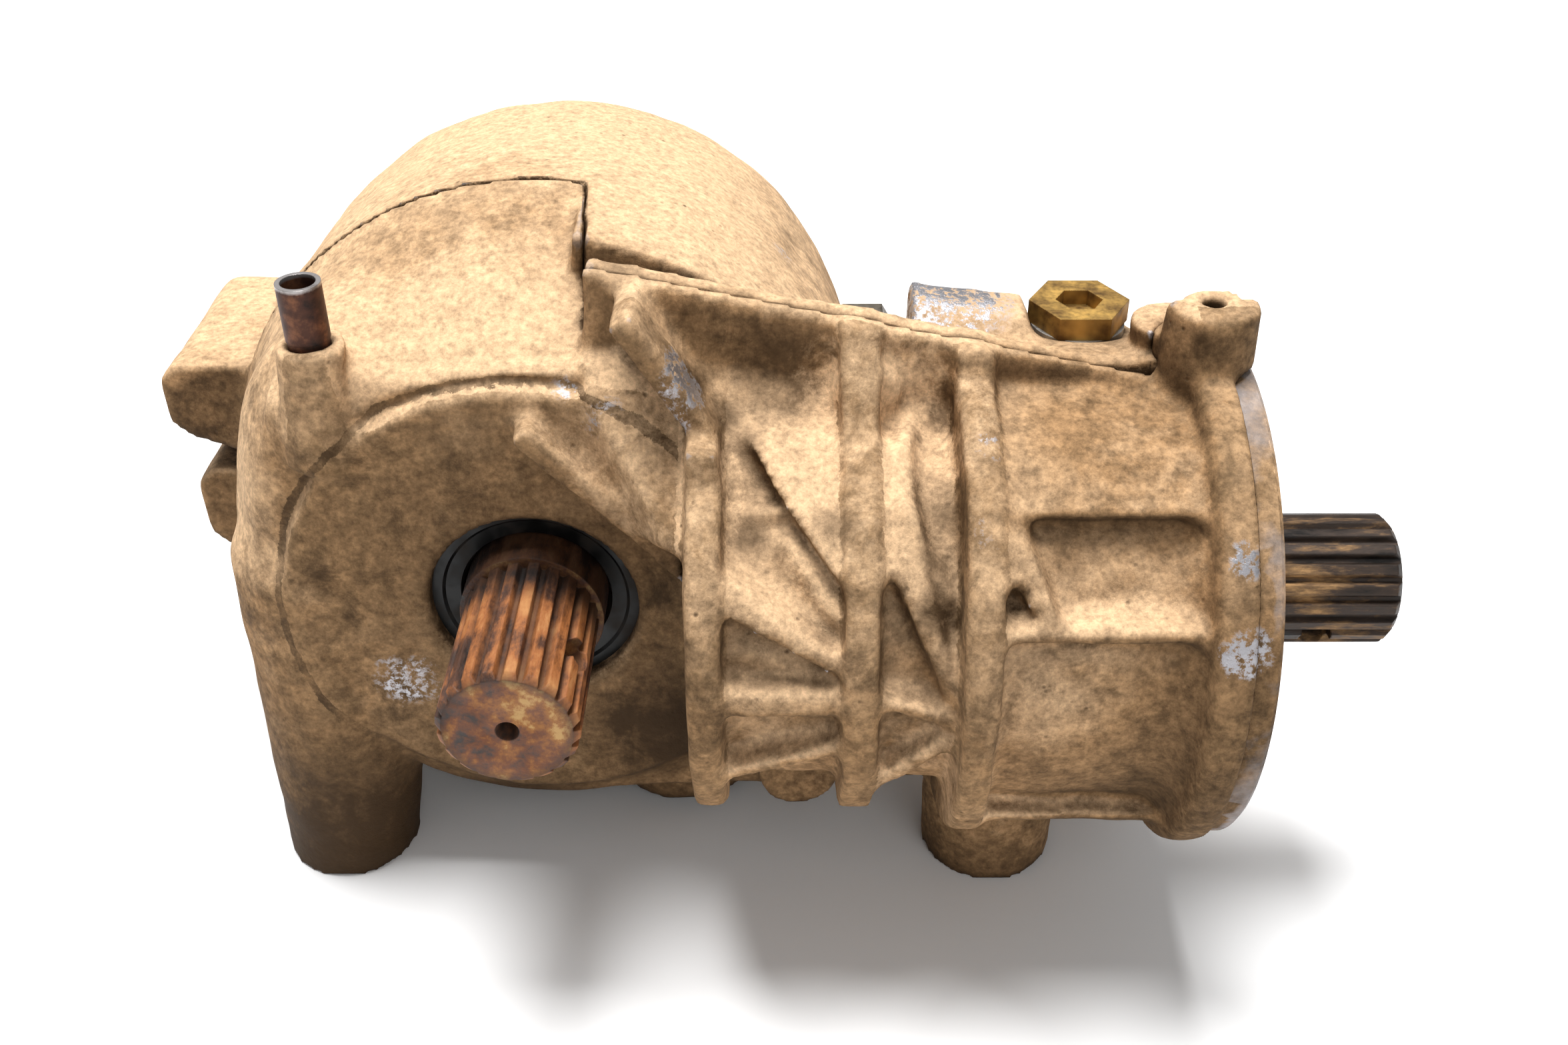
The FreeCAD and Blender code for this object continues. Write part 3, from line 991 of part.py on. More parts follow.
def build():
    body = housing()
    front = front_region()
    nodes = {"front_housing": body.common(front), "rear_housing": body.cut(front)}
    nodes["housing_bolts"] = housing_bolts()
    nodes["end_cover"] = end_cover()
    nodes["end_cover_oring"] = cover_oring()
    nodes["end_cover_bolts"] = cover_bolts()
    nodes["vent_tube"] = vent_tube()
    fill_seat = Vector(FILL_PLUG_X, FILL_PLUG_Y, FILL_BOSS_Z)
    nodes["fill_plug"] = plug(fill_seat, Z_AXIS, FILL_HEAD)
    nodes["fill_plug_washer"] = plug_washer(fill_seat, Z_AXIS)
    drain_seat = Vector(DRAIN_BOSS_X, DRAIN_BOSS_Y, DRAIN_BOSS_Z + DRAIN_RECESS)
    nodes["drain_plug"] = plug(drain_seat, Z_AXIS.negative(), DRAIN_RECESS - GASKET_THICKNESS - 0.5)
    nodes["drain_plug_washer"] = plug_washer(drain_seat, Z_AXIS.negative())
    nodes["front_output_seal"] = lip_seal(Vector(0, SEAL_DEPTH, 0), Y_AXIS, SEAL_OUT_R, COLLAR_R, SEAL_WIDTH)
    nodes["rear_output_seal"] = lip_seal(Vector(0, REAR_FACE_Y - SEAL_DEPTH, 0), Y_AXIS.negative(), SEAL_OUT_R,
                                         COLLAR_R, SEAL_WIDTH)
    nodes["pinion_seal"] = lip_seal(Vector(COVER_FACE_X - 1.0, AXES_CROSS_Y, 0), X_AXIS.negative(),
                                    PINION_SEAL_OUT_R, COLLAR_R, PINION_SEAL_WIDTH)
    for name, y in (("front_carrier_bearing", FRONT_BEARING_Y), ("rear_carrier_bearing", REAR_BEARING_Y)):
        nodes.update(bearing(Vector(0, y, 0), Y_AXIS, CARRIER_BEARING_BORE_R, CARRIER_BEARING_OUT_R,
                             CARRIER_BEARING_WIDTH, name))
    for name, x in (("inner_pinion_bearing", PINION_INNER_BEARING_X), ("outer_pinion_bearing", PINION_OUTER_BEARING_X)):
        nodes.update(bearing(Vector(x, AXES_CROSS_Y, 0), X_AXIS, PINION_BEARING_BORE_R, PINION_BEARING_OUT_R,
                             PINION_BEARING_WIDTH, name))
    nodes["pinion_shaft"] = pinion_shaft()
    nodes["pinion_spacer"] = spacer()
    nodes["pinion_snap_ring"] = snap_ring()
    nodes["ring_gear"] = ring_gear()
    nodes["ring_gear_bolts"] = ring_bolts()
    nodes["diff_case"] = case_body()
    nodes["diff_case_cap"] = case_cap()
    nodes["diff_case_cap_bolts"] = cap_bolts()
    nodes["cross_pin"] = cross_pin()
    nodes["cross_pin_lock"] = lock_pin_solid()
    nodes["front_side_washer"] = side_washer(-1.0)
    nodes["rear_side_washer"] = side_washer(1.0)
    nodes["front_output_shaft"] = output_shaft(0.0, 1.0)
    nodes["rear_output_shaft"] = output_shaft(REAR_FACE_Y, -1.0)
    nodes["front_side_gear"] = side_gear(-1.0)
    nodes["rear_side_gear"] = side_gear(1.0)
    nodes["upper_spider_gear"] = spider_gear(1.0)
    nodes["lower_spider_gear"] = spider_gear(-1.0)
    nodes["upper_spider_washer"] = spider_washer(1.0)
    nodes["lower_spider_washer"] = spider_washer(-1.0)
    return nodes


def main():
    os.makedirs("parts", exist_ok=True)
    for name, shape in build().items():
        shape.exportStep(os.path.join("parts", name + ".step"))
        print(name, "solids", [round(solid.Volume) for solid in shape.Solids], "valid", shape.isValid())


main()
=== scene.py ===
import math

import bmesh
import bpy
from bpy.props import FloatProperty, FloatVectorProperty, IntProperty, PointerProperty
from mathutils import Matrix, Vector, noise


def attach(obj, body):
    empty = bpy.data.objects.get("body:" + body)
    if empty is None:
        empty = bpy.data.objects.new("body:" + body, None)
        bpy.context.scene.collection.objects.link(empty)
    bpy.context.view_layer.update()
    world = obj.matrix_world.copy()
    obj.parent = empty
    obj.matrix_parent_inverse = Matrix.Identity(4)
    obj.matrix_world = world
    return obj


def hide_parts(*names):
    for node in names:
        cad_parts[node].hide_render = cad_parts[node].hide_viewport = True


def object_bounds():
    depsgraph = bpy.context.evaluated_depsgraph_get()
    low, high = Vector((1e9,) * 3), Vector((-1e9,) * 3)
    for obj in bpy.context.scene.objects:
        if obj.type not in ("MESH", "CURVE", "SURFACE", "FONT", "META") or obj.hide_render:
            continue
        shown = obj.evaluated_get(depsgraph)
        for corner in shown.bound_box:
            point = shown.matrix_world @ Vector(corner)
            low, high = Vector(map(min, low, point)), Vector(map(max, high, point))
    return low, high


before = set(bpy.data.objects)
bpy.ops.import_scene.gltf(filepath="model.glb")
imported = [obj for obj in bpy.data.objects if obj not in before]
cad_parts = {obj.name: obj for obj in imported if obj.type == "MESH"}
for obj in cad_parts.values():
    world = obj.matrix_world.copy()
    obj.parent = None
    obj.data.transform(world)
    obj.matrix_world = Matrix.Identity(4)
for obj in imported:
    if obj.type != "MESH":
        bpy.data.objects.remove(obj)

bl_info = {
    "name": "Front differential",
    "version": (1, 0, 0),
    "blender": (4, 5, 0),
    "location": "3D View > Sidebar > Differential",
    "description": "Dresses a front differential: dusty castings, rusty shafts, gears and a studio",
    "category": "Object",
}

CAD_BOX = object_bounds()
IMAGE_WIDTH = 2352
MM = 0.001


def linear(code):
    """Linear colour with alpha from an sRGB hex code."""
    parts = [int(code[k:k + 2], 16) / 255 for k in (1, 3, 5)]
    return [p / 12.92 if p <= 0.04045 else ((p + 0.055) / 1.055) ** 2.4 for p in parts] + [1.0]


def per_mm(size):
    """Scale of a pattern whose features are this many millimetres wide."""
    return 1000.0 / size


class DifferentialSettings(bpy.types.PropertyGroup):
    front_voxel: FloatProperty(
        name="Front casting mesh size", description="Edge of one face on the front casting",
        default=1.15 * MM, min=0.8 * MM, max=4 * MM, unit="LENGTH", precision=5)
    rear_voxel: FloatProperty(
        name="Rear casting mesh size", description="Edge of one face on the rear casting",
        default=1.42 * MM, min=0.8 * MM, max=4 * MM, unit="LENGTH", precision=5)
    cast_rounding: IntProperty(
        name="Casting rounding", description="How often the edges of the castings are smoothed",
        default=18, min=0, max=30)
    cast_waviness: FloatProperty(
        name="Casting waviness", description="How far the cast skin wanders from its drawn form",
        default=0.45 * MM, min=0, max=2 * MM, unit="LENGTH", precision=5)
    dust_colour: FloatVectorProperty(
        name="Dust", description="Dry clay dust on the castings",
        default=linear("#DEBA92"), size=4, subtype="COLOR", min=0, max=1)
    # painted shade in part: faces that look sideways get this colour, as do patches of darker, browner dust
    dull_and_shaded_colour: FloatVectorProperty(
        name="Dull dust", description="Older dust, brown with oil",
        default=linear("#A3805B"), size=4, subtype="COLOR", min=0, max=1)
    # painted shade in part: this colour also darkens corners and faces that do not look up
    dirt_and_shade_colour: FloatVectorProperty(
        name="Dirt", description="Oily dirt in the corners of the castings",
        default=linear("#3A2917"), size=4, subtype="COLOR", min=0, max=1)
    bare_colour: FloatVectorProperty(
        name="Bare aluminium", description="Casting skin where the dust is rubbed off",
        default=linear("#A9A7AB"), size=4, subtype="COLOR", min=0, max=1)
    handled_colour: FloatVectorProperty(
        name="Handled skin", description="Ribs and faces that stand out, with little dust left",
        default=linear("#8A6D4D"), size=4, subtype="COLOR", min=0, max=1)
    rust_colour: FloatVectorProperty(
        name="Rust", description="Dry rust on the front output shaft",
        default=linear("#955A2C"), size=4, subtype="COLOR", min=0, max=1)
    floor_colour: FloatVectorProperty(
        name="Floor", description="Matt paper floor",
        default=linear("#FAFAFA"), size=4, subtype="COLOR", min=0, max=1)
    floor_size: FloatProperty(
        name="Floor size", description="Half the side of the floor",
        default=6.0, min=0.5, unit="LENGTH")
    key_power: FloatProperty(
        name="Key light", description="Power of the large light above",
        default=92.0, min=0, unit="POWER")
    fill_power: FloatProperty(
        name="Fill light", description="Power of the light from the front",
        default=4.5, min=0, unit="POWER")
    sky_strength: FloatProperty(
        name="Sky", description="Strength of the even white light from all round",
        default=0.3, min=0)


# The form of the castings, in millimetres

NOSE_SEAM_Y = 10.0  # the nose parts here, through the axis of the pinion
DRUM_SEAM_Y = 48.0  # the drum parts here
STEP_X = 13.4  # the step between the two planes leaves the nose plane here
STEP_BACK_X = 10.0  # and meets the drum plane here
NOSE_SEAM_END_X = 116.6
DRUM_SEAM_START_X = -200.0
RIB_BANDS = ((34.8, 3.9), (62.8, 3.9), (83.6, 3.9), (128.0, 5.6))  # middle and half width, along x
RIB_BACK_Y = 7.0
PLATE_END_X = 30.0
PLATE_FACE_Y = 0.9
PLATE_BACK_Y = 6.0
PLATE_EDGE_R = 49.6
NOSE_BORE_R = 33.0
NOSE_BORE_START_X = 25.0
SEAL_BORE_R = 25.0
SEAL_BORE_END_Y = 14.0
CHAMBER_Y = (11.0, 121.0)
COVER_SEAT_X = 128.5
FOOT_FACE_Z = -71.5
TOP_HOLE = (126.0, 9.5)  # x and y of its middle
TOP_HOLE_R = 4.0
TOP_BOSS_Z = 50.0
TOP_BOSS_START_X = 104.0
# the middle of the drum wall: up to which y, from which y, the radius there and its growth
DRUM_WALL = ((27.0, 12.0, 53.0, 0.6), (DRUM_SEAM_Y, 27.0, 62.0, 0.2), (math.inf, DRUM_SEAM_Y, 66.3, -0.073))

# How the skin of the castings departs from the drawn form, in millimetres

SEAM_SOFTNESS = 0.12  # how freely an edge rounds off at a parting line
SEAM_CRISP = 0.5  # up to this distance from the line it stays so
SEAM_FADE = 3.0  # and over this distance it gets free
SHOULDER_FLAT = 3.6  # how far the slope over the seal plate falls back to a straight line
SHOULDER_FULL = 4.2  # how far it swells at the vent
PLATE_LIP = 1.5  # how far the edge of the plate comes forward under it
BOSS_FALL = 0.6  # share of its height that the rear part of the top boss loses
WIDE_WAVE = 13.0
SMALL_WAVE = 5.0

# Marks on the castings, as centre and reach in millimetres and how strong the mark is

BARE_SPOTS = (  # dust and skin rubbed off to the metal
    ((17.6, 2.0, 43.0), 7.0, 1.0), ((8.6, 4.0, 47.0), 5.0, 0.9), ((32.7, -4.0, 54.0), 8.0, 1.0),
    ((30.0, -6.0, 47.0), 5.0, 0.9), ((85.0, -14.0, 50.0), 9.0, 0.85), ((84.0, -30.0, 40.0), 9.0, 0.9),
    ((83.8, -36.0, 32.0), 4.0, 1.0), ((127.0, -31.0, 34.0), 5.5, 1.0), ((128.0, -38.0, 19.0), 6.5, 1.0),
    ((-27.5, 0.0, -18.4), 12.0, 0.55), ((78.0, 33.0, 53.0), 22.0, 1.0), ((46.8, 60.0, 44.8), 9.0, 0.5),
)
OIL_AND_SHADE_SPOTS = (  # dirt soaked with oil, and painted shade on the lower parts and in recesses
    ((-48.0, 4.0, -88.0), 84.0, 1.0), ((-44.0, 4.0, -66.0), 52.0, 1.0), ((25.0, 0.0, -32.0), 30.0, 0.95),
    ((50.0, 4.0, 51.0), 16.0, 0.8), ((24.0, -2.0, 58.0), 8.0, 0.6), ((29.0, -6.0, 49.0), 8.0, 0.5),
    ((0.0, 0.0, 0.0), 56.0, 0.42), ((-12.0, 12.0, -60.0), 38.0, 0.95), ((94.0, 8.0, -80.0), 26.0, 0.8),
    ((26.0, 34.0, -72.0), 30.0, 0.8), ((130.0, -10.0, -44.0), 24.0, 0.4), ((134.0, -36.0, -14.0), 22.0, 0.35),
    ((-62.0, 66.0, -16.0), 34.0, 0.4), ((8.0, -3.0, 33.0), 10.0, 0.5), ((-10.0, 0.0, 42.0), 16.0, 0.5),
    ((94.0, -34.0, -14.0), 14.0, 0.5), ((66.0, 22.0, 48.0), 14.0, 0.9), ((110.0, 26.0, 40.0), 18.0, 0.7),
    ((33.0, 0.2, 51.6), 7.0, 0.9), ((38.1, -0.2, 43.6), 6.0, 0.75), ((42.3, -3.3, 39.2), 6.0, 0.6),
    ((43.0, -16.0, 28.5), 6.5, 0.7), ((58.0, -20.0, 33.5), 6.0, 0.6), ((58.5, -25.0, 13.5), 6.0, 1.0),
    ((78.5, -13.0, 31.0), 9.0, 0.7), ((75.0, -27.0, 20.0), 6.0, 0.9), ((98.0, -8.0, 34.0), 9.0, 0.7),
    ((19.0, 12.0, 63.0), 8.0, 0.9), ((126.0, -38.0, 33.0), 12.0, 0.6),
)
DULL_SPOTS = (  # patches where the dust is darker and browner
    ((-16.0, 28.0, 66.0), 50.0, 0.55), ((110.0, -4.0, 42.0), 40.0, 0.85), ((128.0, -6.0, 52.0), 30.0, 0.5),
    ((-74.0, 52.0, 10.0), 40.0, 0.3), ((34.0, 10.0, 60.0), 22.0, 0.3), ((140.0, -30.0, 0.0), 50.0, 0.7),
    ((60.0, 12.0, 56.0), 22.0, 0.2),
)
CLEAN_AND_LIT_SPOTS = (  # painted light: lighter dust without grime where the castings fall in shade, and fresh dry dust
    ((-32.0, 8.0, 55.0), 24.0, 0.5), ((-8.0, 10.0, 57.0), 26.0, 0.7), ((66.0, -5.0, 45.0), 15.0, 1.0),
    ((77.0, -5.0, 43.0), 11.0, 0.9), ((20.0, -1.0, 44.0), 14.0, 1.1), ((22.0, -8.0, 33.0), 14.0, 1.1),
    ((32.0, -14.0, 38.0), 12.0, 1.0), ((55.0, -24.0, 26.0), 8.0, 0.6), ((-66.0, 10.0, 22.0), 22.0, 0.8),
    ((62.0, 3.0, 49.0), 12.0, 1.1), ((71.0, 4.0, 47.0), 10.0, 1.0), ((45.0, -22.0, -22.0), 26.0, 0.6),
    ((76.0, -25.0, -22.0), 26.0, 0.6), ((104.0, -32.0, -4.0), 32.0, 0.3),
)
SPOT_CORE = 0.25  # share of its reach over which a mark has its full strength
SMALL_REACH = 12.0  # marks up to this reach keep near their place
WIDE_WANDER = 26.0  # how far the outlines of large marks wander
NEAR_WANDER = 4.16  # and those of small ones

# Ridges on the castings that are too soft for drawn edges, as two ends, height and reach in millimetres

SOFT_RIDGES = (
    ((38.5, -13.5, 32.5), (50.0, -12.5, 31.3), 2.0, 3.2),
    ((50.0, -17.0, 27.2), (59.0, -25.0, 16.6), 2.2, 3.6),
    ((70.5, -16.1, 34.8), (78.0, -23.4, 20.8), 1.8, 3.4),
    ((92.0, -22.0, 24.0), (100.0, -30.0, 12.0), 1.4, 4.0),
    ((40.0, -27.0, 10.0), (58.0, -29.0, 8.0), 1.2, 3.0),
)

# Where the finish of a shaft or tube changes, in millimetres

SHAFT_CENTRE_R = (9.6, 11.6)  # the end face darkens between these radii
SPLINE_R = (11.7, 12.9)  # root and tip of the splines
COLLAR_Y = (-14.0, -6.0)  # the shaft darkens towards its collar
TUBE_RIM_Z = (65.9, 67.1)

# The camera of the photograph, in metres, degrees and pixels, and the floor and lights round the object

CAMERA_PLACE = (0.04905, -0.24095, 0.18598)
CAMERA_LOOKS_DOWN = 34.51
FOCAL_PIXELS = 2323.85
SENSOR_WIDTH = 36.0
FLOOR_MIDDLE = (0.05, 0.05)
LIT_POINT = (0.05, 0.03, 0.0)
KEY_PLACE, KEY_SIZE = (-0.15, 0.3, 2.3), 1.1
FILL_PLACE, FILL_SIZE = (0.6, -1.2, 0.9), 1.0


# Materials

def node(tree, kind, inputs=None, ramp=None, **settings):
    """Add a node with its settings, its input values or links, and the stops of its ramp."""
    made = tree.nodes.new(kind)
    for name, value in settings.items():
        setattr(made, name, value)
    for name, value in (inputs or {}).items():
        if isinstance(value, bpy.types.NodeSocket):
            tree.links.new(value, made.inputs[name])
        else:
            made.inputs[name].default_value = value
    if ramp:
        stops = made.color_ramp.elements
        while len(stops) < len(ramp):
            stops.new(0.5)
        for stop, (place, colour) in zip(stops, ramp):
            stop.position = place
            stop.color = colour
    return made


def start_material(name, metallic, roughness):
    """A material with one shader, and the object's own coordinates."""
    material = bpy.data.materials.new(name)
    material.use_nodes = True
    tree = material.node_tree
    tree.nodes.clear()
    shader = node(tree, "ShaderNodeBsdfPrincipled", {"Metallic": metallic, "Roughness": roughness})
    node(tree, "ShaderNodeOutputMaterial", {"Surface": shader.outputs[0]})
    coords = node(tree, "ShaderNodeTexCoord")
    return material, tree, shader, coords.outputs["Object"]


def marked(tree, place, spots):
    """How strongly a point lies within any of the marked spots, from 0 to 1."""
    total = None
    for centre, reach, strength in spots:
        gap = node(tree, "ShaderNodeVectorMath", {0: place, 1: [c * MM for c in centre]}, operation="DISTANCE")
        near = node(tree, "ShaderNodeMapRange", {
            "Value": gap.outputs["Value"], "From Min": SPOT_CORE * reach * MM, "From Max": reach * MM,
            "To Min": strength, "To Max": 0.0})
        if total is None:
            total = near
        else:
            total = node(tree, "ShaderNodeMath", {0: total.outputs[0], 1: near.outputs[0]},
                         operation="MAXIMUM")
    return total.outputs[0]


def seam_line(tree, place, normal, distance, axis, start, end):
    """Near 1 on the plane of a parting line, 0 beyond half a millimetre from it or outside its stretch."""
    across = node(tree, "ShaderNodeVectorMath", {0: place, 1: normal}, operation="DOT_PRODUCT")
    offset = node(tree, "ShaderNodeMath", {0: across.outputs["Value"], 1: distance * MM}, operation="SUBTRACT")
    gap = node(tree, "ShaderNodeMath", {0: offset.outputs[0]}, operation="ABSOLUTE")
    line = node(tree, "ShaderNodeMapRange", {
        "Value": gap.outputs[0], "From Min": 0.15 * MM, "From Max": 0.6 * MM, "To Min": 0.9, "To Max": 0.0})
    axes = node(tree, "ShaderNodeSeparateXYZ", {0: place})
    stretch = node(tree, "ShaderNodeMath", {
        0: axes.outputs[axis], 1: (start + end) / 2 * MM, 2: (end - start) / 2 * MM}, operation="COMPARE")
    within = node(tree, "ShaderNodeMath", {0: line.outputs[0], 1: stretch.outputs[0]}, operation="MULTIPLY")
    return within.outputs[0]


def cast_patterns(tree, place):
    """Sockets by name: where a point is, how it faces, and the uneven patterns of dirt and wear."""
    geometry = node(tree, "ShaderNodeNewGeometry")
    coords = node(tree, "ShaderNodeTexCoord")
    facing = node(tree, "ShaderNodeSeparateXYZ", {0: coords.outputs["Normal"]})
    clouds = node(tree, "ShaderNodeTexNoise", {
        "Vector": place, "Scale": per_mm(36), "Detail": 7.0, "Roughness": 0.62})
    smear = node(tree, "ShaderNodeTexNoise", {
        "Vector": place, "Scale": per_mm(15), "Detail": 8.0, "Roughness": 0.76, "Distortion": 0.4})
    blotches = node(tree, "ShaderNodeTexNoise", {
        "Vector": place, "Scale": per_mm(8), "Detail": 9.0, "Roughness": 0.74, "Distortion": 0.25})
    spots = node(tree, "ShaderNodeTexNoise", {
        "Vector": place, "Scale": per_mm(4.2), "Detail": 8.0, "Roughness": 0.72})
    # the grit of the cast skin, about 0.3 mm wide in fact and drawn at 1.4 mm so that it shows
    grit = node(tree, "ShaderNodeTexNoise", {
        "Vector": place, "Scale": per_mm(1.4), "Detail": 5.0, "Roughness": 0.72})
    crumbs = node(tree, "ShaderNodeTexVoronoi", {"Vector": place, "Scale": per_mm(3.4), "Randomness": 1.0})
    pits = node(tree, "ShaderNodeMapRange", {
        "Value": crumbs.outputs["Distance"], "From Min": 0.05, "From Max": 0.16, "To Min": 0.7, "To Max": 0.0})
    patchy = node(tree, "ShaderNodeMapRange", {
        "Value": blotches.outputs["Fac"], "From Min": 0.36, "From Max": 0.6, "To Min": 0.35, "To Max": 1.0})
    centred = node(tree, "ShaderNodeVectorMath", {0: blotches.outputs["Color"], 1: (0.5, 0.5, 0.5)},
                   operation="SUBTRACT")
    wander = node(tree, "ShaderNodeVectorMath", {0: centred.outputs[0], "Scale": WIDE_WANDER * MM},
                  operation="SCALE")
    ragged = node(tree, "ShaderNodeVectorMath", {0: place, 1: wander.outputs[0]}, operation="ADD")
    near_wander = node(tree, "ShaderNodeVectorMath", {0: centred.outputs[0], "Scale": NEAR_WANDER * MM},
                       operation="SCALE")
    near_ragged = node(tree, "ShaderNodeVectorMath", {0: place, 1: near_wander.outputs[0]}, operation="ADD")
    return {
        "place": place, "ragged": ragged.outputs[0], "near_ragged": near_ragged.outputs[0],
        "upward": facing.outputs["Z"], "pointiness": geometry.outputs["Pointiness"],
        "clouds": clouds.outputs["Fac"], "smear": smear.outputs["Fac"], "blotches": blotches.outputs["Fac"],
        "spots": spots.outputs["Fac"], "grit": grit.outputs["Fac"], "pits": pits.outputs[0],
        "patchy": patchy.outputs[0],
    }


def dust_and_light_tone(tree, cast, clean_and_lit):
    """How light the dust is painted, from 0 to 1, with painted light and shade: faces that look up are painted
    lightest and faces that look down darkest.
    """
    # painted light and shade: the tone rises with how far a face looks up
    upward = node(tree, "ShaderNodeMapRange", {
        "Value": cast["upward"], "From Min": -0.6, "From Max": 0.85, "To Max": 1.5})
    shade = node(tree, "ShaderNodeMath", {0: upward.outputs[0], 1: cast["clouds"]}, operation="ADD")
    shade = node(tree, "ShaderNodeMath", {0: shade.outputs[0], 1: cast["blotches"]}, operation="ADD")
    dull = marked(tree, cast["ragged"], DULL_SPOTS)
    shade = node(tree, "ShaderNodeMath", {0: shade.outputs[0], 1: dull}, operation="SUBTRACT")
    shade = node(tree, "ShaderNodeMath", {0: shade.outputs[0], 1: clean_and_lit}, operation="ADD")
    tone = node(tree, "ShaderNodeMapRange", {"Value": shade.outputs[0], "From Min": 0.85, "From Max": 2.5})
    return tone.outputs[0]


def standing_out(tree, cast):
    """How much dust is gone from the ribs, the flange and the seal plate, which stand out."""
    axes = node(tree, "ShaderNodeSeparateXYZ", {0: cast["near_ragged"]})
    on_rib = None
    for middle, half in RIB_BANDS:
        band = node(tree, "ShaderNodeMath", {0: axes.outputs["X"], 1: middle * MM, 2: half * MM},
                    operation="COMPARE")
        if on_rib is None:
            on_rib = band
        else:
            on_rib = node(tree, "ShaderNodeMath", {0: on_rib.outputs[0], 1: band.outputs[0]}, operation="ADD")
    in_front = node(tree, "ShaderNodeMath", {0: axes.outputs["Y"], 1: RIB_BACK_Y * MM}, operation="LESS_THAN")
    on_rib = node(tree, "ShaderNodeMath", {0: on_rib.outputs[0], 1: in_front.outputs[0]}, operation="MULTIPLY")
    at_face = node(tree, "ShaderNodeMath", {0: axes.outputs["Y"], 1: PLATE_FACE_Y * MM}, operation="LESS_THAN")
    beside_ribs = node(tree, "ShaderNodeMath", {0: axes.outputs["X"], 1: PLATE_END_X * MM},
                       operation="LESS_THAN")
    on_plate = node(tree, "ShaderNodeMath", {0: at_face.outputs[0], 1: beside_ribs.outputs[0]},
                    operation="MULTIPLY")
    proud = node(tree, "ShaderNodeMath", {0: on_rib.outputs[0], 1: on_plate.outputs[0]}, operation="MAXIMUM")
    uneven = node(tree, "ShaderNodeMapRange", {
        "Value": cast["blotches"], "From Min": 0.38, "From Max": 0.6, "To Min": 0.1, "To Max": 0.85})
    proud = node(tree, "ShaderNodeMath", {0: proud.outputs[0], 1: uneven.outputs[0]}, operation="MULTIPLY")
    return proud.outputs[0]


def dust_and_shade_colour(tree, cast, tone, settings):
    """The colour of the dust with its grain and its damp and dry spots, and painted light and shade: a ramp
    from dark brown on faces that look down to light dust on faces that look up.
    """
    # painted shade: the darkest colour of the ramp, for faces that look down
    underside_shade_colour = [c * 0.3 for c in settings.dull_and_shaded_colour[:3]] + [1.0]
    dust = node(tree, "ShaderNodeValToRGB", {0: tone},
                ramp=[(0.0, underside_shade_colour), (0.45, settings.dull_and_shaded_colour), (0.9, settings.dust_colour)])
    proud = standing_out(tree, cast)
    dust = node(tree, "ShaderNodeMix", {0: proud, 6: dust.outputs[0], 7: settings.handled_colour},
                data_type="RGBA")
    speckle = node(tree, "ShaderNodeMapRange", {
        "Value": cast["grit"], "From Min": 0.3, "From Max": 0.62, "To Min": 0.55, "To Max": 1.12})
    grain = node(tree, "ShaderNodeMix", {0: 1.0, 6: dust.outputs[2], 7: speckle.outputs[0]},
                 data_type="RGBA", blend_type="MULTIPLY")
    mottle = node(tree, "ShaderNodeMapRange", {
        "Value": cast["spots"], "From Min": 0.36, "From Max": 0.6, "To Min": 0.52, "To Max": 1.16})
    dry = node(tree, "ShaderNodeMapRange", {"Value": tone, "From Min": 0.55, "To Max": 0.75})
    mottle = node(tree, "ShaderNodeMix", {0: dry.outputs[0], 2: mottle.outputs[0], 3: 1.0}, data_type="FLOAT")
    grain = node(tree, "ShaderNodeMix", {0: 1.0, 6: grain.outputs[2], 7: mottle.outputs[0]},
                 data_type="RGBA", blend_type="MULTIPLY")
    return grain.outputs[2]


def parting_lines(tree, cast):
    """Broken dark lines where the two castings meet."""
    place = cast["place"]
    nose_seam = seam_line(tree, place, (0, 1, 0), NOSE_SEAM_Y, "X", STEP_X, NOSE_SEAM_END_X)
    drum_seam = seam_line(tree, place, (0, 1, 0), DRUM_SEAM_Y, "X", DRUM_SEAM_START_X, STEP_BACK_X)
    lean = (STEP_X - STEP_BACK_X) / (DRUM_SEAM_Y - NOSE_SEAM_Y)
    step_seam = seam_line(tree, place, (1, lean, 0), STEP_X + lean * NOSE_SEAM_Y,
                          "Y", NOSE_SEAM_Y, DRUM_SEAM_Y)
    seam = node(tree, "ShaderNodeMath", {0: nose_seam, 1: drum_seam}, operation="MAXIMUM")
    seam = node(tree, "ShaderNodeMath", {0: seam.outputs[0], 1: step_seam}, operation="MAXIMUM")
    broken = node(tree, "ShaderNodeMapRange", {"Value": cast["grit"], "From Min": 0.4, "From Max": 0.52})
    seam = node(tree, "ShaderNodeMath", {0: seam.outputs[0], 1: broken.outputs[0]}, operation="MULTIPLY")
    return seam.outputs[0]


def plate_edge_shade(tree, cast):
    """A painted shade line, with dirt, all round the edge of the seal plate."""
    level = node(tree, "ShaderNodeVectorMath", {0: cast["near_ragged"], 1: (1.0, 0.0, 1.0)},
                 operation="MULTIPLY")
    radius = node(tree, "ShaderNodeVectorMath", {0: level.outputs[0]}, operation="LENGTH")
    edge = node(tree, "ShaderNodeMath", {0: radius.outputs["Value"], 1: PLATE_EDGE_R * MM, 2: 0.8 * MM},
                operation="COMPARE")
    axes = node(tree, "ShaderNodeSeparateXYZ", {0: cast["near_ragged"]})
    low = node(tree, "ShaderNodeMath", {0: axes.outputs["Y"], 1: PLATE_BACK_Y * MM}, operation="LESS_THAN")
    beside_ribs = node(tree, "ShaderNodeMath", {0: axes.outputs["X"], 1: PLATE_END_X * MM},
                       operation="LESS_THAN")
    for limit in (low.outputs[0], beside_ribs.outputs[0], cast["patchy"], 0.8):
        edge = node(tree, "ShaderNodeMath", {0: edge.outputs[0], 1: limit}, operation="MULTIPLY")
    return edge.outputs[0]


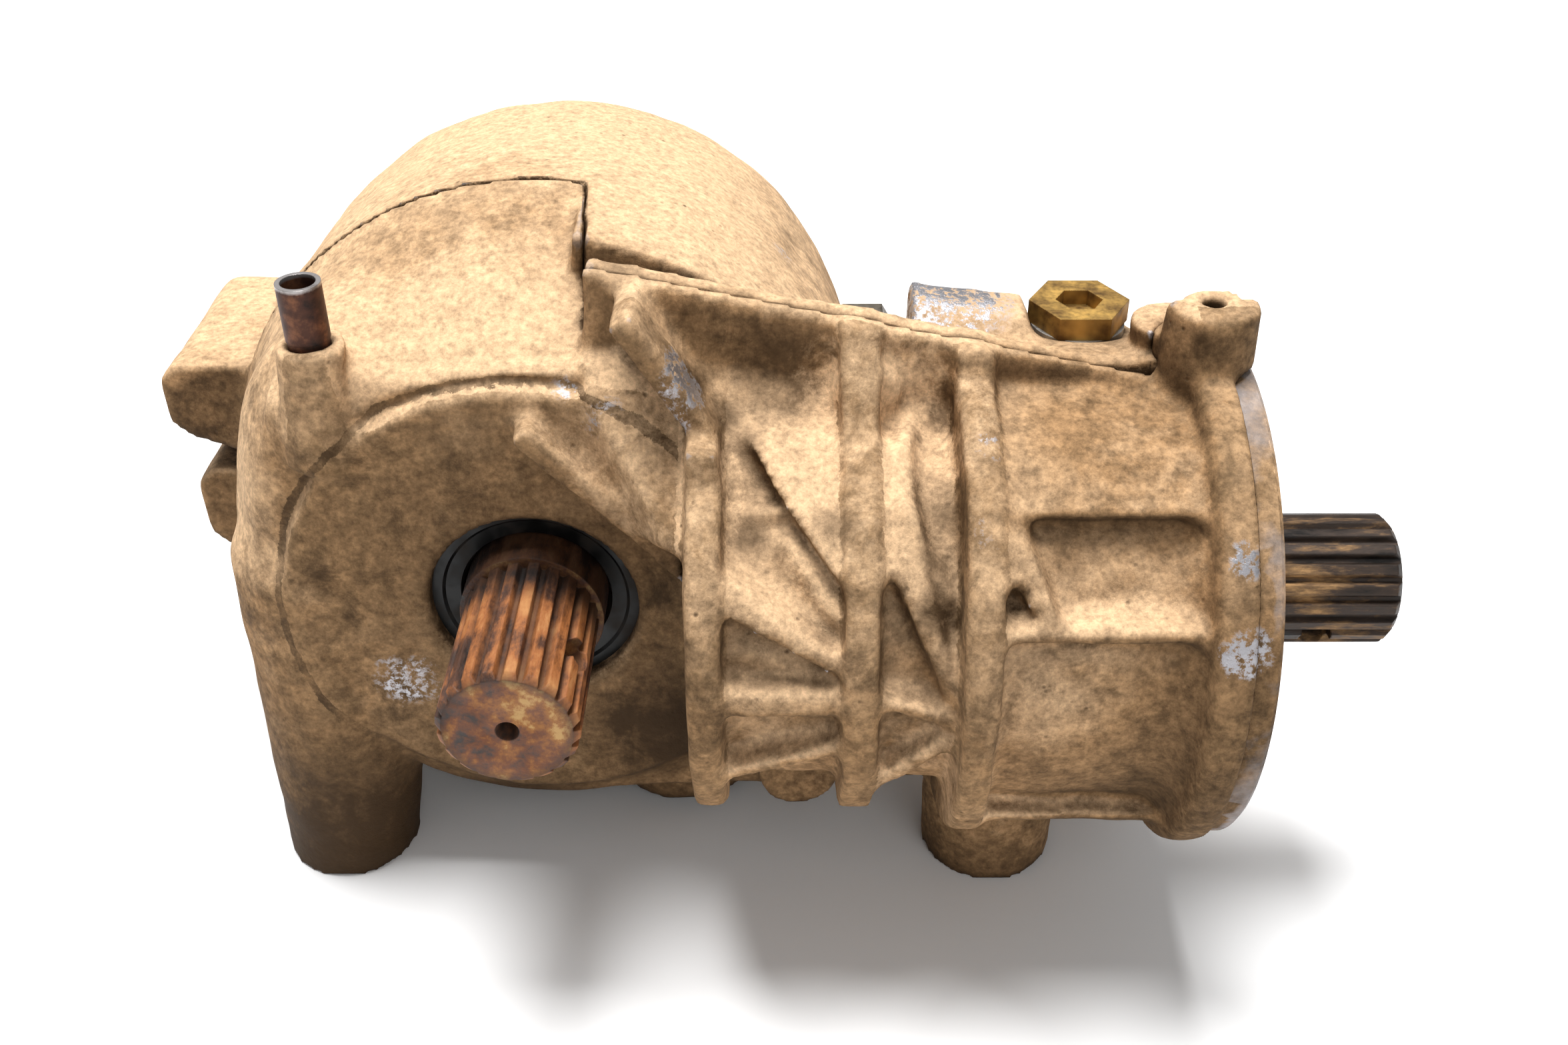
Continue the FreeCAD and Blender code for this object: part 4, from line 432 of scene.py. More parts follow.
def dirt_and_shade_share(tree, cast, clean_and_lit, seam, loose):
    """How much oily dirt and painted shade cover the dust: in corners, stains, thin grime with painted shade
    on faces that do not look up, parting lines and pits.
    """
    # painted shade: corners and hollows found by ambient occlusion and pointiness get dark, with the dirt they
    # hold
    closed = node(tree, "ShaderNodeAmbientOcclusion", {"Distance": 12 * MM}, samples=6)
    corner = node(tree, "ShaderNodeMapRange", {
        "Value": closed.outputs["AO"], "From Min": 0.4, "From Max": 0.94, "To Min": 1.0, "To Max": 0.0})
    hollow = node(tree, "ShaderNodeMapRange", {
        "Value": cast["pointiness"], "From Min": 0.42, "From Max": 0.49, "To Min": 1.0, "To Max": 0.0})
    corner = node(tree, "ShaderNodeMath", {0: corner.outputs[0], 1: hollow.outputs[0]}, operation="MAXIMUM")
    corner = node(tree, "ShaderNodeMath", {0: corner.outputs[0], 1: cast["patchy"]}, operation="MULTIPLY")
    # oil stains and painted shade: the large low spots darken the undersides
    wide_stain_and_shade = marked(tree, cast["ragged"], [spot for spot in OIL_AND_SHADE_SPOTS if spot[1] > SMALL_REACH])
    small_stain_and_shade = marked(tree, cast["near_ragged"], [spot for spot in OIL_AND_SHADE_SPOTS if spot[1] <= SMALL_REACH])
    stain_and_shade = node(tree, "ShaderNodeMath", {0: wide_stain_and_shade, 1: small_stain_and_shade}, operation="MAXIMUM")
    even = node(tree, "ShaderNodeMapRange", {"Value": cast["patchy"], "From Min": 0.35, "To Min": 0.78})
    stain_and_shade = node(tree, "ShaderNodeMath", {0: stain_and_shade.outputs[0], 1: even.outputs[0]}, operation="MULTIPLY")
    soiled_and_shaded = node(tree, "ShaderNodeMath", {0: corner.outputs[0], 1: stain_and_shade.outputs[0]}, operation="MAXIMUM")
    # thin grime, with painted shade: it is strongest on faces that do not look up
    grime_and_shade = node(tree, "ShaderNodeMapRange", {
        "Value": cast["smear"], "From Min": 0.45, "From Max": 0.66, "To Max": 0.72})
    steep = node(tree, "ShaderNodeMapRange", {
        "Value": cast["upward"], "From Min": 0.25, "From Max": 0.85, "To Min": 1.0, "To Max": 0.22})
    grime_and_shade = node(tree, "ShaderNodeMath", {0: grime_and_shade.outputs[0], 1: steep.outputs[0]}, operation="MULTIPLY")
    soiled_and_shaded = node(tree, "ShaderNodeMath", {0: soiled_and_shaded.outputs[0], 1: grime_and_shade.outputs[0]}, operation="MAXIMUM")
    # painted light: the lit spots also take dirt away
    lit_and_wiped = node(tree, "ShaderNodeMath", {0: clean_and_lit, 1: 0.6}, operation="MULTIPLY")
    soiled_and_shaded = node(tree, "ShaderNodeMath", {0: soiled_and_shaded.outputs[0], 1: lit_and_wiped.outputs[0]}, operation="SUBTRACT")
    for held in (plate_edge_shade(tree, cast), seam, loose):
        soiled_and_shaded = node(tree, "ShaderNodeMath", {0: soiled_and_shaded.outputs[0], 1: held}, operation="MAXIMUM")
    share = node(tree, "ShaderNodeMapRange", {
        "Value": soiled_and_shaded.outputs[0], "From Min": 0.08, "From Max": 0.85, "To Max": 0.96})
    return share.outputs[0]


def bare_share(tree, cast):
    """How much bare metal shows: on edges and where something rubbed."""
    edge = node(tree, "ShaderNodeMapRange", {"Value": cast["pointiness"], "From Min": 0.52, "From Max": 0.575})
    worn = node(tree, "ShaderNodeMath", {0: edge.outputs[0], 1: cast["clouds"]}, operation="MULTIPLY")
    worn = node(tree, "ShaderNodeMapRange", {
        "Value": worn.outputs[0], "From Min": 0.4, "From Max": 0.6, "To Max": 0.75})
    rubbed = marked(tree, cast["near_ragged"], BARE_SPOTS)
    scratchy = node(tree, "ShaderNodeMapRange", {"Value": cast["grit"], "From Min": 0.38, "From Max": 0.55})
    rubbed = node(tree, "ShaderNodeMath", {0: rubbed, 1: scratchy.outputs[0]}, operation="MULTIPLY")
    rubbed = node(tree, "ShaderNodeMath", {0: rubbed.outputs[0], 1: cast["patchy"]}, operation="MULTIPLY")
    rubbed = node(tree, "ShaderNodeMapRange", {"Value": rubbed.outputs[0], "From Min": 0.2, "From Max": 0.42})
    bare = node(tree, "ShaderNodeMath", {0: worn.outputs[0], 1: rubbed.outputs[0]}, operation="MAXIMUM")
    return bare.outputs[0]


def dusty_cast_aluminium(settings):
    """Die-cast aluminium under dry dust: matt tan, painted lighter on faces that look up, corners dark with
    oily dirt and painted shade, bare shiny rubbed spots.
    """
    material, tree, shader, place = start_material("dusty_cast_aluminium", 0.0, 0.9)
    cast = cast_patterns(tree, place)
    # painted light: these spots lighten the dust and clear dirt where the castings fall in shade
    clean_and_lit = marked(tree, cast["ragged"], CLEAN_AND_LIT_SPOTS)
    seam = parting_lines(tree, cast)
    loose = node(tree, "ShaderNodeMapRange", {"Value": cast["clouds"], "From Min": 0.5, "From Max": 0.62})
    loose = node(tree, "ShaderNodeMath", {0: loose.outputs[0], 1: cast["pits"]}, operation="MULTIPLY")
    tone = dust_and_light_tone(tree, cast, clean_and_lit)
    dirt_and_shade = dirt_and_shade_share(tree, cast, clean_and_lit, seam, loose.outputs[0])
    bare = bare_share(tree, cast)
    colour = node(tree, "ShaderNodeMix", {
        0: dirt_and_shade, 6: dust_and_shade_colour(tree, cast, tone, settings), 7: settings.dirt_and_shade_colour}, data_type="RGBA")
    colour = node(tree, "ShaderNodeMix", {0: bare, 6: colour.outputs[2], 7: settings.bare_colour},
                  data_type="RGBA")
    tree.links.new(colour.outputs[2], shader.inputs["Base Color"])
    metal = node(tree, "ShaderNodeMapRange", {"Value": bare, "To Max": 0.85})
    tree.links.new(metal.outputs[0], shader.inputs["Metallic"])
    shine = node(tree, "ShaderNodeMapRange", {"Value": bare, "To Min": 0.12, "To Max": 0.5})
    tree.links.new(shine.outputs[0], shader.inputs["Specular IOR Level"])
    oily = node(tree, "ShaderNodeMapRange", {"Value": dirt_and_shade, "To Min": 0.92, "To Max": 0.65})
    gloss = node(tree, "ShaderNodeMix", {0: bare, 2: oily.outputs[0], 3: 0.33}, data_type="FLOAT")
    tree.links.new(gloss.outputs[0], shader.inputs["Roughness"])
    rise = node(tree, "ShaderNodeMath", {0: cast["grit"], 1: 0.4}, operation="MULTIPLY")
    rise = node(tree, "ShaderNodeMath", {0: cast["blotches"], 1: rise.outputs[0]}, operation="ADD")
    sunk = node(tree, "ShaderNodeMath", {0: loose.outputs[0], 1: seam}, operation="MAXIMUM")
    rise = node(tree, "ShaderNodeMath", {0: rise.outputs[0], 1: sunk.outputs[0]}, operation="SUBTRACT")
    bump = node(tree, "ShaderNodeBump", {"Height": rise.outputs[0], "Strength": 0.6, "Distance": 0.8 * MM})
    tree.links.new(bump.outputs[0], shader.inputs["Normal"])
    return material


def rusty_forged_steel(settings):
    """Forged steel shaft, left to rust: matt orange over dark brown, dirt and painted shade between the
    splines.
    """
    material, tree, shader, place = start_material("rusty_forged_steel", 0.0, 0.82)
    stretched = node(tree, "ShaderNodeMapping", {"Vector": place, "Scale": (1.0, 0.3, 1.0)})
    streaks = node(tree, "ShaderNodeTexNoise", {
        "Vector": stretched.outputs[0], "Scale": per_mm(4), "Detail": 7.0, "Roughness": 0.7})
    patches = node(tree, "ShaderNodeTexNoise", {
        "Vector": place, "Scale": per_mm(14), "Detail": 5.0, "Roughness": 0.6})
    tone = node(tree, "ShaderNodeMath", {0: streaks.outputs["Fac"], 1: patches.outputs["Fac"]},
                operation="ADD")
    level = node(tree, "ShaderNodeMapRange", {"Value": tone.outputs[0], "From Min": 0.7, "From Max": 1.3})
    colour = node(tree, "ShaderNodeValToRGB", {0: level.outputs[0]},
                  ramp=[(0.0, linear("#1D120C")), (0.3, linear("#4A2A17")), (0.58, settings.rust_colour),
                        (0.9, linear("#AE7A48"))])
    # the flat end is lighter, most of all in its middle
    radial = node(tree, "ShaderNodeVectorMath", {0: place, 1: (1.0, 0.0, 1.0)}, operation="MULTIPLY")
    radius = node(tree, "ShaderNodeVectorMath", {0: radial.outputs[0]}, operation="LENGTH")
    face_tone = node(tree, "ShaderNodeMapRange", {
        "Value": tone.outputs[0], "From Min": 0.78, "From Max": 1.16})
    face_colour = node(tree, "ShaderNodeValToRGB", {0: face_tone.outputs[0]},
                       ramp=[(0.0, linear("#24150C")), (0.45, linear("#6C3C1C")), (0.78, linear("#96622F")),
                             (1.0, linear("#B8925C"))])
    ring = node(tree, "ShaderNodeMapRange", {
        "Value": radius.outputs["Value"], "From Min": SHAFT_CENTRE_R[0] * MM,
        "From Max": SHAFT_CENTRE_R[1] * MM, "To Min": 1.0, "To Max": 0.4})
    face_colour = node(tree, "ShaderNodeMix", {0: 1.0, 6: face_colour.outputs[0], 7: ring.outputs[0]},
                       data_type="RGBA", blend_type="MULTIPLY")
    coords = node(tree, "ShaderNodeTexCoord")
    facing = node(tree, "ShaderNodeSeparateXYZ", {0: coords.outputs["Normal"]})
    flat_end = node(tree, "ShaderNodeMath", {0: facing.outputs["Y"]}, operation="ABSOLUTE")
    flat_end = node(tree, "ShaderNodeMath", {0: flat_end.outputs[0], 1: 0.9}, operation="GREATER_THAN")
    colour = node(tree, "ShaderNodeMix", {
        0: flat_end.outputs[0], 6: colour.outputs[0], 7: face_colour.outputs[2]}, data_type="RGBA")
    # dirt and painted shade darken the grooves between the splines, and the shaft darkens towards the end by
    # the collar
    groove = node(tree, "ShaderNodeMapRange", {
        "Value": radius.outputs["Value"], "From Min": SPLINE_R[0] * MM, "From Max": SPLINE_R[1] * MM,
        "To Min": 0.35, "To Max": 1.0})
    along = node(tree, "ShaderNodeSeparateXYZ", {0: place})
    collar = node(tree, "ShaderNodeMapRange", {
        "Value": along.outputs["Y"], "From Min": COLLAR_Y[0] * MM, "From Max": COLLAR_Y[1] * MM,
        "To Min": 1.0, "To Max": 0.22})
    shaded = node(tree, "ShaderNodeMath", {0: groove.outputs[0], 1: collar.outputs[0]}, operation="MULTIPLY")
    shaded = node(tree, "ShaderNodeMath", {0: shaded.outputs[0], 1: flat_end.outputs[0]}, operation="MAXIMUM")
    mixed = node(tree, "ShaderNodeMix", {0: 1.0, 6: colour.outputs[2], 7: shaded.outputs[0]},
                 data_type="RGBA", blend_type="MULTIPLY")
    tree.links.new(mixed.outputs[2], shader.inputs["Base Color"])
    gloss = node(tree, "ShaderNodeMapRange", {
        "Value": streaks.outputs["Fac"], "From Min": 0.35, "From Max": 0.65, "To Min": 0.5, "To Max": 0.85})
    tree.links.new(gloss.outputs[0], shader.inputs["Roughness"])
    rounded = node(tree, "ShaderNodeBevel", {"Radius": 0.5 * MM}, samples=4)
    bump = node(tree, "ShaderNodeBump", {
        "Height": streaks.outputs["Fac"], "Strength": 0.5, "Distance": 0.7 * MM, "Normal": rounded.outputs[0]})
    tree.links.new(bump.outputs[0], shader.inputs["Normal"])
    return material


def stained_steel():
    """Ground steel shaft with dried mud: dark and half shiny, tan streaks along the splines."""
    material, tree, shader, place = start_material("stained_steel", 0.35, 0.5)
    stretched = node(tree, "ShaderNodeMapping", {"Vector": place, "Scale": (0.25, 1.0, 1.0)})
    streaks = node(tree, "ShaderNodeTexNoise", {
        "Vector": stretched.outputs[0], "Scale": per_mm(4.5), "Detail": 6.0, "Roughness": 0.68})
    level = node(tree, "ShaderNodeMapRange", {
        "Value": streaks.outputs["Fac"], "From Min": 0.34, "From Max": 0.68})
    colour = node(tree, "ShaderNodeValToRGB", {0: level.outputs[0]},
                  ramp=[(0.0, linear("#120D0A")), (0.5, linear("#382A20")), (0.76, linear("#775B3C")),
                        (1.0, linear("#B08A5C"))])
    tree.links.new(colour.outputs[0], shader.inputs["Base Color"])
    gloss = node(tree, "ShaderNodeMapRange", {"Value": level.outputs[0], "To Min": 0.34, "To Max": 0.8})
    tree.links.new(gloss.outputs[0], shader.inputs["Roughness"])
    rounded = node(tree, "ShaderNodeBevel", {"Radius": 0.5 * MM}, samples=4)
    bump = node(tree, "ShaderNodeBump", {
        "Height": streaks.outputs["Fac"], "Strength": 0.4, "Distance": 0.5 * MM, "Normal": rounded.outputs[0]})
    tree.links.new(bump.outputs[0], shader.inputs["Normal"])
    return material


def rusty_tube_steel():
    """Drawn steel tube: brown rust, rubbed bright at its rim."""
    material, tree, shader, place = start_material("rusty_tube_steel", 0.6, 0.45)
    height = node(tree, "ShaderNodeSeparateXYZ", {0: place})
    patches = node(tree, "ShaderNodeTexNoise", {
        "Vector": place, "Scale": per_mm(5), "Detail": 6.0, "Roughness": 0.65})
    rust = node(tree, "ShaderNodeValToRGB", {0: patches.outputs["Fac"]},
                ramp=[(0.3, linear("#1F1512")), (0.5, linear("#4C2E22")), (0.66, linear("#7E5238"))])
    rim = node(tree, "ShaderNodeMapRange", {
        "Value": height.outputs["Z"], "From Min": TUBE_RIM_Z[0] * MM, "From Max": TUBE_RIM_Z[1] * MM})
    rim = node(tree, "ShaderNodeMath", {0: rim.outputs[0], 1: patches.outputs["Fac"]}, operation="MULTIPLY")
    rim = node(tree, "ShaderNodeMapRange", {"Value": rim.outputs[0], "From Min": 0.25, "From Max": 0.5})
    colour = node(tree, "ShaderNodeMix", {0: rim.outputs[0], 6: rust.outputs[0], 7: linear("#A5A09E")},
                  data_type="RGBA")
    tree.links.new(colour.outputs[2], shader.inputs["Base Color"])
    gloss = node(tree, "ShaderNodeMapRange", {"Value": rim.outputs[0], "To Min": 0.55, "To Max": 0.3})
    tree.links.new(gloss.outputs[0], shader.inputs["Roughness"])
    rounded = node(tree, "ShaderNodeBevel", {"Radius": 0.3 * MM}, samples=4)
    bump = node(tree, "ShaderNodeBump", {
        "Height": patches.outputs["Fac"], "Strength": 0.25, "Distance": 0.3 * MM,
        "Normal": rounded.outputs[0]})
    tree.links.new(bump.outputs[0], shader.inputs["Normal"])
    return material


def nitrile_rubber():
    """Moulded nitrile rubber, oily: near black with a soft shine and a little dust."""
    material, tree, shader, place = start_material("nitrile_rubber", 0.0, 0.4)
    dust = node(tree, "ShaderNodeTexNoise", {"Vector": place, "Scale": per_mm(6), "Detail": 6.0})
    colour = node(tree, "ShaderNodeValToRGB", {0: dust.outputs["Fac"]},
                  ramp=[(0.48, linear("#050505")), (0.8, linear("#2A2119"))])
    tree.links.new(colour.outputs[0], shader.inputs["Base Color"])
    gloss = node(tree, "ShaderNodeMapRange", {
        "Value": dust.outputs["Fac"], "From Min": 0.4, "From Max": 0.7, "To Min": 0.32, "To Max": 0.75})
    tree.links.new(gloss.outputs[0], shader.inputs["Roughness"])
    shader.inputs["Specular IOR Level"].default_value = 0.25
    bump = node(tree, "ShaderNodeBump", {
        "Height": dust.outputs["Fac"], "Strength": 0.15, "Distance": 0.3 * MM})
    tree.links.new(bump.outputs[0], shader.inputs["Normal"])
    return material


def machined_metal(name, light, dark, mark_size, roughness, film_size):
    """Machined part: fine tool marks in the gloss and a thin uneven oil film."""
    material, tree, shader, place = start_material(name, 0.9, roughness)
    film = node(tree, "ShaderNodeTexNoise", {"Vector": place, "Scale": per_mm(film_size), "Detail": 4.0})
    # tool marks lie about 0.1 mm apart in fact and are drawn coarser so that they show
    marks = node(tree, "ShaderNodeTexNoise", {"Vector": place, "Scale": per_mm(mark_size), "Detail": 3.0})
    colour = node(tree, "ShaderNodeValToRGB", {0: film.outputs["Fac"]},
                  ramp=[(0.3, linear(dark)), (0.7, linear(light))])
    tree.links.new(colour.outputs[0], shader.inputs["Base Color"])
    gloss = node(tree, "ShaderNodeMapRange", {
        "Value": marks.outputs["Fac"], "From Min": 0.3, "From Max": 0.7,
        "To Min": roughness - 0.08, "To Max": roughness + 0.12})
    tree.links.new(gloss.outputs[0], shader.inputs["Roughness"])
    rounded = node(tree, "ShaderNodeBevel", {"Radius": 0.3 * MM}, samples=4)
    bump = node(tree, "ShaderNodeBump", {
        "Height": marks.outputs["Fac"], "Strength": 0.12, "Distance": 0.1 * MM, "Normal": rounded.outputs[0]})
    tree.links.new(bump.outputs[0], shader.inputs["Normal"])
    return material


# Name, light and dark colour, width of the tool marks, roughness, width of the patches of oil; widths in mm

MACHINED_METALS = (
    # case-hardened teeth in gear oil: mid grey, ground and wet, so half shiny
    ("oiled_gear_steel", "#8E8A86", "#5D5750", 1.2, 0.34, 16),
    # grey cast iron, turned only at its seats: dark, grainy and dull
    ("cast_iron_case", "#5F5A55", "#3B3733", 1.6, 0.55, 12),
    # through-hardened bearing steel, finely ground: the brightest and smoothest metal here
    ("ground_bearing_steel", "#B9B8B6", "#918F8B", 0.8, 0.22, 20),
    # zinc-plated bolts, weathered: warm grey, dull in spots
    ("zinc_bolt_steel", "#A39B8E", "#5E564A", 1.0, 0.42, 6),
    # zinc plate passivated yellow: brassy where clean, brown where dirty
    ("yellow_zinc_steel", "#C9A35C", "#6B5130", 1.0, 0.55, 4),
    # blackened high-strength steel: near black with a faint oily shine
    ("black_bolt_steel", "#3A3836", "#232120", 1.0, 0.42, 8),
    # turned mild steel: light grey with fine tool marks
    ("turned_spacer_steel", "#A6A4A1", "#7E7B77", 0.9, 0.3, 14),
    # pressed bronze sheet: brown-gold and smooth
    ("pressed_bronze", "#B5854C", "#7E5A32", 1.0, 0.38, 10),
    # soft aluminium, squeezed by its plug: pale and slightly matt
    ("soft_aluminium_washer", "#B6B4B0", "#8C8984", 1.0, 0.45, 8),
)

FINISHES = {
    "stained_steel": ["pinion_shaft"],
    "rusty_forged_steel": ["front_output_shaft", "rear_output_shaft"],
    "rusty_tube_steel": ["vent_tube"],
    "nitrile_rubber": ["front_output_seal", "rear_output_seal", "pinion_seal", "end_cover_oring"],
    "dusty_cast_aluminium": ["end_cover"],
    "oiled_gear_steel": ["ring_gear", "front_side_gear", "rear_side_gear", "upper_spider_gear",
                         "lower_spider_gear"],
    "cast_iron_case": ["diff_case", "diff_case_cap"],
    "ground_bearing_steel": [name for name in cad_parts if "_bearing_" in name] + ["cross_pin"],
    "zinc_bolt_steel": ["housing_bolts", "end_cover_bolts", "drain_plug"],
    "yellow_zinc_steel": ["fill_plug"],
    "black_bolt_steel": ["ring_gear_bolts", "diff_case_cap_bolts", "pinion_snap_ring", "cross_pin_lock"],
    "turned_spacer_steel": ["pinion_spacer"],
    "pressed_bronze": ["front_side_washer", "rear_side_washer", "upper_spider_washer", "lower_spider_washer"],
    "soft_aluminium_washer": ["fill_plug_washer", "drain_plug_washer"],
}


def make_materials(settings):
    """All materials by name."""
    made = [dusty_cast_aluminium(settings), rusty_forged_steel(settings), stained_steel(), rusty_tube_steel(),
            nitrile_rubber()]
    made += [machined_metal(*values) for values in MACHINED_METALS]
    return {material.name: material for material in made}


def show(piece, material):
    """Give a new mesh its one material."""
    piece.data.materials.clear()
    piece.data.materials.append(material)


def paint_node(name, material):
    """Give a node of the frame its finish through its object's slots."""
    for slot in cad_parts[name].material_slots:
        slot.link = "OBJECT"
        slot.material = material


# Pieces

def ease(value, start, end):
    """0 before start, 1 after end, and a smooth rise between them."""
    share = min(1.0, max(0.0, (value - start) / (end - start)))
    return share * share * (3 - 2 * share)


def wall_middle(y):
    """Radius between the inner and the outer side of the drum wall."""
    return next(radius + growth * (y - start) for end, start, radius, growth in DRUM_WALL if y < end)


def softness(x, y, z):
    """How freely a point of a casting rounds off: 0 in bores and on machined faces, 1 on the ribs."""
    along_output = math.hypot(x, z)
    in_nose_bore = math.hypot(y - NOSE_SEAM_Y, z) < NOSE_BORE_R and x > NOSE_BORE_START_X
    in_seal_bore = along_output < SEAL_BORE_R and y < SEAL_BORE_END_Y
    in_chamber = CHAMBER_Y[0] < y < CHAMBER_Y[1] and along_output < wall_middle(y)
    on_hole = math.hypot(x - TOP_HOLE[0], y - TOP_HOLE[1]) < TOP_HOLE_R and z > TOP_BOSS_Z
    on_face = x > COVER_SEAT_X or z < FOOT_FACE_Z
    if in_nose_bore or in_seal_bore or in_chamber or on_hole or on_face:
        return 0.0
    if x > STEP_X:
        seam_gap = abs(y - NOSE_SEAM_Y)
    else:
        past_step = max(0.0, NOSE_SEAM_Y - y, y - DRUM_SEAM_Y)
        seam_gap = min(abs(y - DRUM_SEAM_Y), math.hypot(max(0.0, STEP_BACK_X - x), past_step))
    return min(1.0, max(SEAM_SOFTNESS, (seam_gap - SEAM_CRISP) / SEAM_FADE))


def shoulder_move(x, y, z):
    """How the slope over the seal plate departs from the drawn cone: straighter above, fuller at the vent."""
    radius = math.hypot(x, z)
    if y < 3 or y > DRUM_SEAM_Y - 1 or radius < 49 or z < 0 or radius < wall_middle(y):
        return Vector()
    # the drawn cone, and where a point lies round the output axis, in degrees from the nose upwards
    cone = 69.7 - 0.245 * (DRUM_SEAM_Y - y) if y > 15 else 61.6 - 0.42 * (15 - y)
    on_cone = 1 - ease(radius - cone, 1.0, 4.5)
    turn = math.degrees(math.atan2(z, x))
    # each ease is a stretch of the turn, the depth or the radius over which a move comes or goes
    flat = ease(turn, 64, 84) * (1 - ease(turn, 104, 124)) * ease(y, 3.6, 6.5) * (1 - ease(y, 9, 44))
    full = ease(turn, 112, 128) * (1 - ease(turn, 140, 168)) * ease(y, 3, 6) * (1 - ease(y, 14, 46))
    outward = (SHOULDER_FULL * full * ease(radius, 49, 55) - SHOULDER_FLAT * flat) * on_cone
    forward = PLATE_LIP * ease(turn, 64, 84) * (1 - ease(turn, 150, 175)) * ease(radius, 49.3, 50.6)
    forward *= (1 - ease(radius, 51, 57)) * (1 - ease(y, 6, 9))
    return Vector((outward * x / radius, -forward, outward * z / radius))


def boss_move(x, y, z):
    """How the rear part of the top boss slopes down behind its hole."""
    root = TOP_BOSS_Z - 1
    if x < TOP_BOSS_START_X or z < root or y < TOP_HOLE[1] + 1:
        return Vector()
    behind = ease(math.hypot(x - TOP_HOLE[0], y - TOP_HOLE[1]), TOP_HOLE_R + 1, TOP_HOLE_R + 5)
    return Vector((0, 0, -BOSS_FALL * (z - root) * behind))


def ridge_move(spot):
    """How the soft ridges between the ribs raise a point on the outside of the nose."""
    total = 0.0
    for start, end, height, reach in SOFT_RIDGES:
        first = Vector(start)
        line = Vector(end) - first
        share = min(1.0, max(0.0, (spot - first).dot(line) / line.length_squared))
        gap = (spot - first - line * share).length
        if gap < reach:
            total += height * (1 - ease(gap, 0, reach))
    if not total:
        return Vector()
    return Vector((0, spot.y - NOSE_SEAM_Y, spot.z)).normalized() * total


def casting_skin(name, source_name, voxel, settings, material):
    """A casting with the radii and the uneven skin that come from its mould, over the same walls and holes."""
    form = bmesh.new()
    form.from_mesh(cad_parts[source_name].data)
    bmesh.ops.remove_doubles(form, verts=form.verts, dist=0.002 * MM)
    mesh = bpy.data.meshes.new(name)
    form.to_mesh(mesh)
    form.free()
    skin = bpy.data.objects.new(name, mesh)
    bpy.context.scene.collection.objects.link(skin)
    remesh = skin.modifiers.new("even_faces", "REMESH")
    remesh.mode = "VOXEL"
    remesh.voxel_size = voxel
    remesh.use_smooth_shade = True
    graph = bpy.context.evaluated_depsgraph_get()
    skin.data = bpy.data.meshes.new_from_object(skin.evaluated_get(graph))
    skin.data.name = name
    skin.modifiers.clear()
    if not skin.data.polygons:
        raise RuntimeError(f"{source_name} has no faces left after the remesh")
    soft = skin.vertex_groups.new(name="soft")
    moves = []
    for vertex in skin.data.vertices:
        spot = vertex.co / MM
        weight = softness(*spot)
        soft.add([vertex.index], weight, "REPLACE")
        swell = noise.noise(vertex.co / (WIDE_WAVE * MM)) + 0.5 * noise.noise(vertex.co / (SMALL_WAVE * MM))
        sculpted = shoulder_move(*spot) + ridge_move(spot) * weight + boss_move(*spot)
        moves.append(vertex.normal * (swell * weight * settings.cast_waviness) + sculpted * MM)
    for vertex, move in zip(skin.data.vertices, moves):
        vertex.co += move
    # rounds that take the edges off, then fewer that give the ribs their height back
    for label, factor, share in (("mould_radii", 0.5, 1.0), ("keep_height", -0.52, 0.68)):
        soften = skin.modifiers.new(label, "SMOOTH")
        soften.factor = factor
        soften.iterations = round(settings.cast_rounding * share)
        soften.vertex_group = "soft"
    show(skin, material)
    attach(skin, "housing")
    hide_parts(source_name)


class DIFFERENTIAL_OT_finishes(bpy.types.Operator):
    """Make the materials and put them on the gears, shafts, bearings and fasteners"""
    bl_idname = "differential.finishes"
    bl_label = "Finishes"

    def execute(self, context):
        materials = make_materials(context.scene.differential)
        for material_name, names in FINISHES.items():
            for name in names:
                paint_node(name, materials[material_name])
        return {"FINISHED"}


class DIFFERENTIAL_OT_castings(bpy.types.Operator):
    """Make the front and rear castings with rounded edges"""
    bl_idname = "differential.castings"
    bl_label = "Castings"

    def execute(self, context):
        settings = context.scene.differential
        material = bpy.data.materials["dusty_cast_aluminium"]
        casting_skin("front_casting", "front_housing", settings.front_voxel, settings, material)
        casting_skin("rear_casting", "rear_housing", settings.rear_voxel, settings, material)
        return {"FINISHED"}


